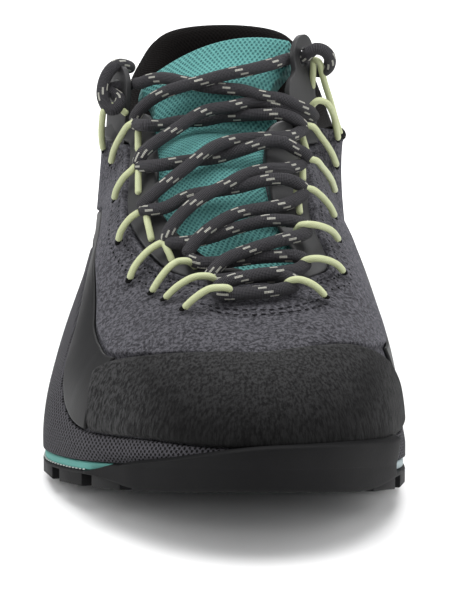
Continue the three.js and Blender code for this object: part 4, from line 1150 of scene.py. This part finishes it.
def rubberised_microfibre():
    """Rubberised microfibre: near black and matt in front, with a painted highlight that greys its top and
    corners where the lamps above and at the sides catch it, and fine upright streaks."""
    material, shader = new_material("rubberised_microfibre", Roughness=0.8, Specular_IOR_Level=0.1)
    place = add_node(material, "ShaderNodeTexCoord")
    parts = add_node(material, "ShaderNodeSeparateXYZ", inputs={"Vector": place.outputs["Object"]})
    stretched = add_node(material, "ShaderNodeMapping", inputs={
        "Vector": place.outputs["Object"], "Scale": (1, 1, 0.12)})
    streak = add_node(material, "ShaderNodeTexNoise", inputs={
        "Vector": stretched.outputs["Vector"], "Scale": 1300.0, "Detail": 3.0, "Roughness": 0.75})
    cloud = mottling(material, place, 30.0, 3.0)
    # Painted highlight: the colour turns greyer higher up the cap and towards its sides, standing in for the
    # overhead and side lamps
    height = add_node(material, "ShaderNodeMapRange", {"interpolation_type": "SMOOTHSTEP"}, {
        "Value": parts.outputs["Z"], "From Min": 0.034, "From Max": 0.06})
    across = add_node(material, "ShaderNodeMapRange", {"interpolation_type": "SMOOTHSTEP"}, {
        "Value": add_node(material, "ShaderNodeMath", {"operation": "ABSOLUTE"}, {
            0: add_node(material, "ShaderNodeMath", {"operation": "ADD"}, {
                0: parts.outputs["X"], 1: -0.012}).outputs[0]}).outputs[0],
        "From Min": 0.02, "From Max": 0.046, "To Max": 0.95})
    lit = add_node(material, "ShaderNodeMath", {"operation": "MAXIMUM"}, {
        0: height.outputs["Result"], 1: across.outputs["Result"]})
    mottling_and_painted_highlight = add_node(material, "ShaderNodeMath", {"operation": "MULTIPLY_ADD"}, {
        0: cloud.outputs["Fac"], 1: 0.3, 2: lit.outputs[0]})
    base = blend(material, mottling_and_painted_highlight.outputs[0], "#030303", "#27272a")
    nap = add_node(material, "ShaderNodeMapRange", inputs={
        "Value": streak.outputs["Fac"], "From Min": 0.4, "From Max": 0.6, "To Min": 0.35, "To Max": 1.75})
    colour = add_node(material, "ShaderNodeVectorMath", {"operation": "SCALE"}, {
        "Vector": base, "Scale": nap.outputs["Result"]})
    grey = add_node(material, "ShaderNodeHueSaturation", inputs={
        "Saturation": 0.15, "Color": colour.outputs["Vector"]})
    link(material, grey.outputs["Color"], shader.inputs["Base Color"])
    emboss(material, shader, streak.outputs["Fac"], 0.7, 0.0003)
    return material


def bond_the_toe_cap():
    cap = panel_on_last(
        "toe_cap_microfibre", 220, 40, lateral_at(CAP_LATERAL_ROW), medial_at(CAP_MEDIAL_ROW),
        lambda u: smooth_line(u, RAND_TOP) + LINE_GAP, lambda u: smooth_line(u, CAP_TOP),
        GAP, TOE_CAP, 4.5, (250, 60), 0.016)
    cap.data.materials.append(rubberised_microfibre())
    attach(cap, "root")
    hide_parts("toe_cap")


bond_the_toe_cap()

# The collar. A padded lining inside the top line, 5 mm thick, of foam under a near-black spacer mesh, rolled
# over the edge from one end of the throat round the heel to the other.
COLLAR_ROW = 5.1
COLLAR_FOOT = 0.72
COLLAR_LENGTH = 330
COLLAR_END = 4


def lining_mesh():
    """Spacer mesh: near-black brown, matt, with small round cells in offset rows."""
    material, shader = new_material("spacer_mesh_lining", Roughness=0.95, Specular_IOR_Level=0.1)
    place = add_node(material, "ShaderNodeUVMap", {"uv_map": "UVMap"})
    turned = add_node(material, "ShaderNodeMapping", inputs={
        "Vector": place.outputs["UV"], "Rotation": (0, 0, math.radians(45)), "Scale": (0.8, 0.8, 1)})
    cells = add_node(material, "ShaderNodeTexVoronoi", {"voronoi_dimensions": "2D"}, {
        "Vector": turned.outputs["Vector"], "Scale": 1.0, "Randomness": 0.1})
    paint(material, shader, cells.outputs["Distance"], "#030202", "#0e0b0a")
    emboss(material, shader, cells.outputs["Distance"], 0.6, 0.0006)
    return material


# Places up the rib and out from the last, from the pad's foot over the rim to the suede's edge
COLLAR_FACE = np.array([
    (0.72, -2.0), (0.725, -3.6), (0.74, -5.4), (0.78, -6.8), (0.84, -7.3), (0.9, -7.1), (0.95, -6.5),
    (0.985, -5.4), (1.006, -3.9), (1.016, -2.2), (1.018, -0.6), (1.012, 0.8), (1.0, 1.7), (0.985, 2.1),
    (0.972, 2.0), (0.964, 1.5)])
COLLAR_BACK = np.array([
    (0.72, -2.0), (0.74, -2.0), (0.78, -2.0), (0.83, -2.0), (0.88, -2.0), (0.92, -2.0), (0.95, -2.0),
    (0.975, -2.0), (0.99, -1.9), (1.0, -1.5), (1.004, -0.8), (1.004, -0.1), (0.998, 0.4), (0.988, 0.6),
    (0.976, 0.9), (0.964, 1.5)])


def pad_the_collar():
    columns, rows = 300, 45
    first, last_u = medial_at(COLLAR_ROW) - 1, lateral_at(COLLAR_ROW)
    profiles = [np.stack([np.interp(np.linspace(0, 15, rows + 1), np.arange(16), line[:, k]) for k in (0, 1)])
                for line in (COLLAR_FACE, COLLAR_BACK)]

    def sheet(profile):
        def place(across, along):
            k = np.rint(along * rows).astype(int)
            u = first + (last_u - first) * across
            full = rounded(np.minimum(across, 1 - across) * COLLAR_LENGTH / COLLAR_END)
            middle = (profiles[0][:, k] + profiles[1][:, k]) / 2
            t, out = middle + (profile[:, k] - middle) * full
            return over_last(u, t, out)
        return place

    def lining_size(across, along):
        u = first + (last_u - first) * across
        return spread_over(u, COLLAR_FOOT + along * 0.5, 1.0)

    face = flipped(formed_sheet("collar_padding", columns, rows, sheet(profiles[0]), lining_size))
    back = formed_sheet("collar_back", columns, rows, sheet(profiles[1]), lining_size)
    collar = joined("collar_padding", [face, back])
    collar.data.materials.append(lining_mesh())
    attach(collar, "root")
    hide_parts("collar")


pad_the_collar()

# The eyestays. Strips of moulded polyurethane inside the suede's throat edges, scalloped towards the tongue,
# each with an eyelet tab that stands above the collar and carries grommets.
EYESTAY = 1.2
EYESTAY_INNER = 0.5
EYESTAY_EDGE = {
    "lateral": ([5, 5.5, 6, 6.5, 7.5, 8, 8.5, 9, 9.5, 9.9],
                [1, 1.04, 1.05, 1.035, 1.035, 1.015, 1.03, 1.05, 1.05, 1]),
    "medial": ([5, 5.5, 6, 6.5, 7.5, 8, 8.5, 9, 9.5, 9.9],
               [1, 1.02, 1.02, 1.02, 1.0, 1.01, 1.04, 1.02, 1.0, 1]),
}
EAR_ACROSS = np.array([0.48, -0.88, 0.0])
EAR_LEAN = np.array([0.05, 0.22, 1.0])
EARS = {
    "lateral": {"row": 5.4, "side": -1, "height": 18.5, "eyelet": 11, "lobe": 0},
    "medial": {"row": 5.62, "side": 1, "height": 27, "eyelet": 20.5, "lobe": 4},
}


def ear_frame(name):
    ear = EARS[name]
    u = lateral_at(ear["row"]) if name == "lateral" else medial_at(ear["row"])
    mirror = np.array([-ear["side"], 1, 1])
    across, lean = EAR_ACROSS * mirror, EAR_LEAN * mirror
    across, lean = across / np.linalg.norm(across), lean / np.linalg.norm(lean)
    face = np.cross(across, lean)
    face /= np.linalg.norm(face)
    foot = over_last([u], [1.0], EYESTAY_INNER)[0] / MM
    if ear["side"] > 0:
        foot = foot - face * EYESTAY
    return foot, across, lean, face


def ear_tab(name):
    """The tab's outline filled in its own plane, with its eyelet cut out, and given its thickness."""
    ear = EARS[name]
    foot, across, lean, face = ear_frame(name)
    half, height, lobe = 6.0, ear["height"], ear["lobe"]
    outline = [(-half, -5), (half, -5)]
    if lobe:
        outline += [(half, 4.5), (half + lobe * 0.6, 6), (half + lobe, 8.5), (half + lobe, 12.5),
                    (half + lobe * 0.6, 15.2), (half, 16.2), (half - 0.6, 18)]
    angles = np.linspace(0, np.pi, 15)
    outline += [(half * math.cos(a), height - half + half * math.sin(a)) for a in angles]
    ring = np.linspace(0, 2 * np.pi, 25)[:-1]
    hole = [(2.7 * math.cos(a), ear["eyelet"] + 2.7 * math.sin(a)) for a in ring]
    curve = bpy.data.curves.new("ear_outline", "CURVE")
    curve.dimensions = "2D"
    curve.fill_mode = "BOTH"
    curve.extrude = EYESTAY / 2 * MM
    curve.bevel_depth = 0.25 * MM
    curve.bevel_resolution = 2
    for points in (outline, hole):
        spline = curve.splines.new("POLY")
        spline.points.add(len(points) - 1)
        for point, (x, y) in zip(spline.points, points):
            point.co = (x * MM, y * MM, 0, 1)
        spline.use_cyclic_u = True
    tab = bpy.data.objects.new("ear_" + name, curve)
    bpy.context.collection.objects.link(tab)
    select_only(tab)
    bpy.ops.object.convert(target="MESH")
    tab = bpy.context.object
    turn = np.stack([across, lean, face], axis=1)
    for vertex in tab.data.vertices:
        local = np.array(vertex.co) / MM
        local[2] += EYESTAY / 2
        vertex.co = (foot + turn @ local) * MM
    return tab


def grommet(name, height, radius=3.2, wire=0.75):
    """A ring round an eyelet at a height up the tab."""
    foot, across, lean, face = ear_frame(name)
    bpy.ops.mesh.primitive_torus_add(major_radius=radius * MM, minor_radius=wire * MM, major_segments=32,
                                     minor_segments=10)
    ring = bpy.context.object
    turn = np.stack([across, lean, face], axis=1)
    for vertex in ring.data.vertices:
        local = np.array(vertex.co) / MM
        local[1] += height
        local[2] = local[2] * 1.25 + EYESTAY / 2
        vertex.co = (foot + turn @ local) * MM
    return ring


def mould_the_eyestays():
    finish = smooth_polyurethane("moulded_polyurethane", "#1f1f20", "#313132", 0.3)
    ends = {"lateral": (lateral_at(5), lateral_at(10)), "medial": (medial_at(10), medial_at(5.5))}
    for name, (first, last_u) in ends.items():
        strip = panel_on_last(
            "strip_" + name, 200, 16, first, last_u,
            lambda u: np.minimum(smooth_line(u, SUEDE_TOP) + 0.01, 0.995),
            lambda u: smooth_line(u, EYESTAY_EDGE, 0.002),
            EYESTAY_INNER, EYESTAY, 1.0, (90, 14))
        rings = [grommet(name, EARS[name]["eyelet"])]
        if name == "medial":
            rings.append(grommet(name, 10.5, 2.4, 0.6))
        eyestay = joined("eyestay_" + name + "_moulded", [strip, ear_tab(name), *rings], 0.001)
        eyestay.data.materials.append(finish)
        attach(eyestay, "root")
        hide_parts("eyestay_" + name)


mould_the_eyestays()

# The tongue. A gusseted pad 4 mm thick of foam under teal air mesh, under the laces from the throat's end to
# above the collar.
TONGUE_PAD = 4
TONGUE_SIDE = 1.6
TONGUE_CLEAR = UPPER_WALL + GAP + 0.9
TONGUE_STATIONS = [(10.4, 0), (9.7, 0.6), (9, 2), (8.2, 4), (7.4, 5.5), (6.7, 6), (6.1, 6.5)]
TONGUE_FREE = [
    ((-19.5, 2, 93.18), (14.0, -1.5, 97.66), 6.5),
    ((-23.5, 9, 96.54), (19.5, 9, 105.5), 7.5),
    ((-22.5, 13, 100.58), (20.5, 15, 112.0), 8.0),
]
TONGUE_WRAP = np.array([-1.5, 5, -3.5])


def tongue_sections():
    """Front and back lines of the tongue at each station, from the throat's end up."""
    fronts, backs = [], []
    s = np.linspace(0, 1, 33)
    hump = 4 * s * (1 - s)

    def section(ends, normals, rise, wraps):
        bend = normals[0] + normals[1]
        bend /= np.linalg.norm(bend)
        front = ends[0] + (ends[1] - ends[0]) * s[:, None] + bend * (rise * hump)[:, None]
        n = normals[0] + (normals[1] - normals[0]) * s[:, None]
        n /= np.linalg.norm(n, axis=1)[:, None]
        thick = TONGUE_SIDE + (TONGUE_PAD - TONGUE_SIDE) * np.sqrt(hump)
        fronts.append(np.vstack([wraps[0], front, wraps[1]]))
        wrapped = wraps - np.array(normals) * 0.2
        backs.append(np.vstack([wrapped[0], front - n * thick[:, None], wrapped[1]]))

    for row, rise in TONGUE_STATIONS:
        u = np.array([lateral_at(row), medial_at(row)])
        ends, wraps = (over_last(u, [t, t], -TONGUE_CLEAR) / MM for t in (0.95, 0.87))
        normals = over_last(u, [0.95, 0.95], 1.0) / MM - over_last(u, [0.95, 0.95]) / MM
        section(ends, normals, rise, wraps)
    for left, right, rise in TONGUE_FREE:
        ends = np.array([left, right], float) - ORIGIN
        normals = np.array([[-0.6, -0.45, 0.65], [0.6, -0.45, 0.65]])
        normals /= np.linalg.norm(normals, axis=1)[:, None]
        wraps = ends + np.array([TONGUE_WRAP, TONGUE_WRAP * [-1, 1, 1]])
        section(ends, normals, rise, wraps)
    return np.array(fronts), np.array(backs)


def through_sections(sections, share):
    """Sections read at shares along, on smooth curves through them."""
    count = len(sections)
    at = np.clip(share, 0, 1) * (count - 1)
    i = np.minimum(at.astype(int), count - 2)
    w = (at - i)[:, None, None]
    return cubic([sections[np.clip(i + k, 0, count - 1)] for k in (-1, 0, 1, 2)], w)


def air_mesh():
    """Teal air mesh: bright yarns round small darker six-sided cells, 1.3 mm apart in offset rows."""
    material, shader = new_material("teal_air_mesh", Roughness=0.85, Specular_IOR_Level=0.25)
    place = add_node(material, "ShaderNodeUVMap", {"uv_map": "UVMap"})
    turned = add_node(material, "ShaderNodeMapping", inputs={
        "Vector": place.outputs["UV"], "Rotation": (0, 0, math.radians(45)), "Scale": (0.77, 0.77, 1)})
    cells = add_node(material, "ShaderNodeTexVoronoi", {"voronoi_dimensions": "2D"}, {
        "Vector": turned.outputs["Vector"], "Scale": 1.0, "Randomness": 0.1})
    yarn = add_node(material, "ShaderNodeMapRange", inputs={
        "Value": cells.outputs["Distance"], "From Min": 0.12, "From Max": 0.45})
    paint(material, shader, yarn.outputs["Result"], "#35696a", "#5a938f")
    emboss(material, shader, yarn.outputs["Result"], 0.7, 0.0006)
    return material


def pad_the_tongue():
    fronts, backs = tongue_sections()
    columns, rows = 96, 150
    width, length = 62, 128

    def sheet(back):
        def place(across, up):
            j = np.rint(up * rows).astype(int)
            levels = np.linspace(0, 1, rows + 1)
            share = 0.5 - 0.5 * np.cos(np.pi * across)
            front_lines, back_lines = through_sections(fronts, levels), through_sections(backs, levels)
            knots = np.linspace(0, 1, fronts.shape[1])
            i = np.minimum((share * (len(knots) - 1)).astype(int), len(knots) - 2)
            w = (share * (len(knots) - 1) - i)[:, None]
            front = front_lines[j, i] * (1 - w) + front_lines[j, i + 1] * w
            rear = back_lines[j, i] * (1 - w) + back_lines[j, i + 1] * w
            middle = (front + rear) / 2
            full = rounded((1 - up) * length / 3.5) * rounded(up * length / 3.5)
            full = full * rounded(np.minimum(share, 1 - share) * width / 2.5)
            return (middle + ((rear if back else front) - middle) * full[:, None]) * MM
        return place

    def mesh_size(across, up):
        share = 0.5 - 0.5 * np.cos(np.pi * across)
        lines = through_sections(fronts, np.linspace(0, 1, rows + 1))
        j = np.rint(up * rows).astype(int)
        widths = np.linalg.norm(np.diff(lines, axis=1), axis=2).sum(axis=1)
        middle = lines[:, lines.shape[1] // 2]
        reach = reach_along(middle)
        return np.stack([(share - 0.5) * widths[j], reach[j]], axis=1)

    tongue = pillow("tongue_mesh", columns, rows, sheet(False), sheet(True), mesh_size)
    tongue.data.materials.append(air_mesh())
    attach(tongue, "root")
    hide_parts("tongue")


pad_the_tongue()

# The lace loops. Pale green round cord, 2 mm thick, that comes up through a hole in the suede, passes
# round the lace and goes down again through the eyestay.
LOOP_DIAMETER = 2.0
LOOP_SIDES = 12
LOOP_STEP = 0.5


def waxed_cord():
    """Waxed braided cord: pale green, almost smooth, with a soft shine and faint crossing yarns."""
    material, shader = new_material("waxed_braided_cord", Roughness=0.6, Coat_Weight=0.15, Coat_Roughness=0.4)
    place = add_node(material, "ShaderNodeUVMap", {"uv_map": "UVMap"})
    turned = add_node(material, "ShaderNodeMapping", inputs={
        "Vector": place.outputs["UV"], "Rotation": (0, 0, math.radians(45))})
    yarns = add_node(material, "ShaderNodeTexVoronoi", inputs={
        "Vector": turned.outputs["Vector"], "Scale": 2.2, "Randomness": 0.1})
    paint(material, shader, yarns.outputs["Distance"], "#b1b78e", "#999f77")
    emboss(material, shader, yarns.outputs["Distance"], 0.35, 0.0002, invert=True)
    return material


def tie_the_loops():
    finish = waxed_cord()
    for name, points in LOOPS.items():
        loop = cord_tube(name + "_cord", smooth_route(points, LOOP_STEP), LOOP_DIAMETER, LOOP_SIDES)
        loop.data.materials.append(finish)
        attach(loop, "root")
        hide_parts(name)


tie_the_loops()

# The lace and its ends. One round braided polyester cord, 3.7 mm thick, threaded from the inner side's top
# eyelet through the pale loops down to the toe and up again, each end turned back behind its eyelet tab.
LACE_DIAMETER = 3.7
LACE_SIDES = 20
LACE_STEP = 0.8
FLECK_PITCH = 12.0
FLECK_ROWS = 8
FLECK_LENGTH = 2.3
FLECK_WIDTH = 0.42
YARN_PITCH = math.pi * LACE_DIAMETER / 14
LACE_STRANDS = [
    [(20.1, 10.1, 107.2), (16.9, 4.6, 107.3), (14.1, -0.1, 107.3), (7.6, -4.6, 106.5), (0.6, -7.0, 105.5),
     (-5.9, -8.6, 104.0), (-11.4, -8.6, 102.5), (-16.9, -7.6, 100.5), (-21.9, -7.0, 97.5),
     (-25.4, -7.0, 94.0), (-26.9, -7.0, 90.5)],
    [(-26.9, -7.0, 90.5), (-22.4, -18.4, 92.7), (-18.4, -15.0, 92.0), (-12.9, -12.0, 92.5),
     (-5.9, -10.6, 92.5),
     (-0.4, -10.0, 93.5), (5.6, -10.6, 94.0), (11.1, -11.6, 94.5), (16.6, -11.0, 94.5), (21.1, -9.0, 92.5),
     (24.1, -5.6, 89.0)],
    [(24.1, -5.6, 89.0), (19.6, -15.6, 89.0), (12.6, -25.0, 90.5), (4.1, -30.0, 91.0), (-2.9, -35.6, 90.0),
     (-10.4, -41.6, 85.5), (-17.4, -47.0, 81.0), (-21.4, -50.0, 78.0), (-23.9, -50.6, 75.0)],
    [(-23.9, -50.6, 75.0), (-16.4, -53.0, 76.5), (-9.9, -49.6, 79.0), (-2.9, -47.6, 80.0), (4.1, -47.0, 81.0),
     (11.6, -47.0, 83.0), (16.1, -47.0, 83.5), (20.1, -46.0, 82.5), (24.1, -45.0, 79.5)],
    [(24.1, -45.0, 79.5), (19.1, -50.6, 77.5), (13.6, -54.0, 77.0), (4.1, -57.6, 76.0), (-2.4, -61.6, 73.5),
     (-7.4, -65.6, 70.0), (-10.4, -68.0, 66.0)],
    [(-10.4, -68.0, 66.0), (-5.4, -70.0, 65.0), (2.1, -70.0, 65.5), (9.1, -70.0, 66.5), (16.1, -70.0, 67.0),
     (21.1, -70.6, 67.0), (24.1, -71.0, 65.5)],
    [(24.1, -71.0, 65.5), (20.6, -75.0, 64.5), (16.1, -78.0, 64.5), (9.1, -81.0, 64.5), (2.1, -83.6, 63.5),
     (-2.4, -85.0, 61.5)],
    [(-2.4, -85.0, 61.0), (0.6, -87.6, 61.0), (7.6, -86.6, 61.0), (14.6, -85.6, 61.5), (21.1, -82.0, 62.0)],
    [(21.1, -81.6, 62.5), (17.6, -79.0, 63.5), (12.6, -78.0, 63.5), (5.6, -78.0, 63.0), (-0.9, -79.0, 62.5),
     (-4.4, -78.6, 62.5)],
    [(-4.4, -78.6, 62.5), (0.6, -75.0, 67.0), (7.1, -71.6, 69.0), (16.1, -68.0, 71.0), (21.6, -64.6, 71.5),
     (24.6, -60.6, 72.0)],
    [(24.6, -60.6, 72.0), (21.6, -60.0, 74.0), (17.6, -59.6, 74.5), (12.6, -59.6, 74.5), (4.1, -60.0, 72.5),
     (-2.4, -61.6, 70.5), (-8.9, -64.0, 69.5), (-16.4, -62.6, 68.5)],
    [(-16.4, -62.6, 68.5), (-14.4, -60.0, 72.5), (-9.9, -56.0, 77.0), (-4.9, -52.6, 80.0), (0.6, -49.0, 82.0),
     (7.1, -45.0, 84.5), (13.1, -41.6, 85.0), (17.6, -36.6, 84.0), (23.6, -28.0, 83.5)],
    [(23.6, -28.0, 83.5), (24.1, -28.6, 86.0), (21.1, -29.0, 88.0), (17.6, -29.6, 90.0), (13.6, -30.0, 90.5),
     (5.6, -31.6, 88.5), (-1.4, -33.0, 86.5), (-10.4, -35.6, 86.0), (-18.4, -38.8, 85.5),
     (-24.9, -32.6, 83.5)],
    [(-24.9, -32.6, 83.5), (-23.4, -32.0, 87.0), (-20.9, -29.6, 89.0), (-13.4, -23.6, 93.0),
     (-5.9, -17.0, 96.5),
     (1.6, -12.6, 97.0), (9.1, -8.6, 97.5), (16.1, -8.6, 96.5), (22.6, -4.6, 93.5), (27.1, 2.0, 90.5)],
    [(27.1, 2.0, 90.5), (25.1, -3.6, 94.0), (21.1, -7.0, 96.5), (17.1, -8.6, 98.5), (11.1, -8.6, 99.5),
     (5.6, -8.0, 101.0), (-0.4, -7.6, 101.5), (-5.9, -7.0, 102.0), (-11.4, -3.6, 102.5), (-17.4, -0.1, 103.0),
     (-21.9, 3.0, 102.0), (-24.9, 5.0, 100.5), (-26.9, 9.0, 99.5)],
]
LACE_ENDS = {
    "lace_end_lateral": [
        (-26.9, 9.0, 99.5), (-30.5, 9.1, 98.6), (-34.5, 8.1, 97.9), (-31.0, 4.4, 95.4), (-32.4, 2.0, 93.2),
        (-34.5, 2.4, 93.3), (-36.2, 4.0, 96.1), (-36.1, 6.0, 100.0), (-34.5, 8.0, 103.4),
        (-32.1, 11.0, 104.8), (-29.3, 14.0, 103.9), (-27.6, 16.0, 102.3)],
    "lace_end_medial": [
        (20.1, 10.1, 107.2), (24.0, 8.0, 107.9), (25.7, 5.4, 109.9), (27.3, 4.4, 111.1),
        (29.7, 5.0, 110.4), (31.4, 7.0, 108.1), (31.4, 9.4, 104.9), (29.5, 12.4, 102.7),
        (26.7, 14.4, 102.6), (24.9, 15.0, 103.8)],
}


def braided_lace():
    """Braided polyester: a dull dark cord of fine crossing yarns, with pale tracer yarns that show as short
    dashes in staggered rows every 12 mm."""
    material, shader = new_material("braided_polyester", Roughness=0.85)
    place = add_node(material, "ShaderNodeUVMap", {"uv_map": "UVMap"})
    parts = add_node(material, "ShaderNodeSeparateXYZ", inputs={"Vector": place.outputs["UV"]})
    round_it, along = parts.outputs["X"], parts.outputs["Y"]

    def maths(operation, a, b=0.0, c=0.0):
        return add_node(material, "ShaderNodeMath", {"operation": operation}, {0: a, 1: b, 2: c}).outputs[0]

    weave = []
    for slope in (1.0, -1.0):
        turned = maths("MULTIPLY_ADD", along, slope, round_it)
        weave.append(maths("SINE", maths("MULTIPLY", turned, 2 * math.pi / YARN_PITCH)))
    yarns = maths("MULTIPLY", weave[0], weave[1])
    strip = maths("DIVIDE", round_it, math.pi * LACE_DIAMETER / FLECK_ROWS)
    stepped = maths(
        "DIVIDE", maths("MULTIPLY_ADD", maths("FLOOR", strip), FLECK_PITCH / FLECK_ROWS, along), FLECK_PITCH)
    reach = maths("MULTIPLY", maths("FRACT", stepped), FLECK_PITCH)
    dash = maths("LESS_THAN", reach, FLECK_LENGTH)
    narrow = maths("LESS_THAN", maths("FRACT", strip), FLECK_WIDTH)
    fleck = maths("MULTIPLY", dash, narrow)
    dark = blend(material, maths("MULTIPLY_ADD", yarns, 0.5, 0.5), "#0c0b0d", "#434147")
    paint(material, shader, fleck, dark, "#bbbab0")
    emboss(material, shader, yarns, 0.9, 0.0004)
    return material


LACE_FINISH = braided_lace()


def thread_the_lace():
    strands = [cord_tube("strand", smooth_route(points, LACE_STEP), LACE_DIAMETER, LACE_SIDES)
               for points in LACE_STRANDS]
    lace = joined("lace_crossings", strands, 0.001)
    lace.data.materials.append(LACE_FINISH)
    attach(lace, "root")
    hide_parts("lace")
    for name, points in LACE_ENDS.items():
        route = smooth_route(points, LACE_STEP)
        end = cord_tube(name + "_cord", route, LACE_DIAMETER, LACE_SIDES)
        end.data.materials.append(LACE_FINISH)
        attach(end, "root")
        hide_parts(name)


thread_the_lace()
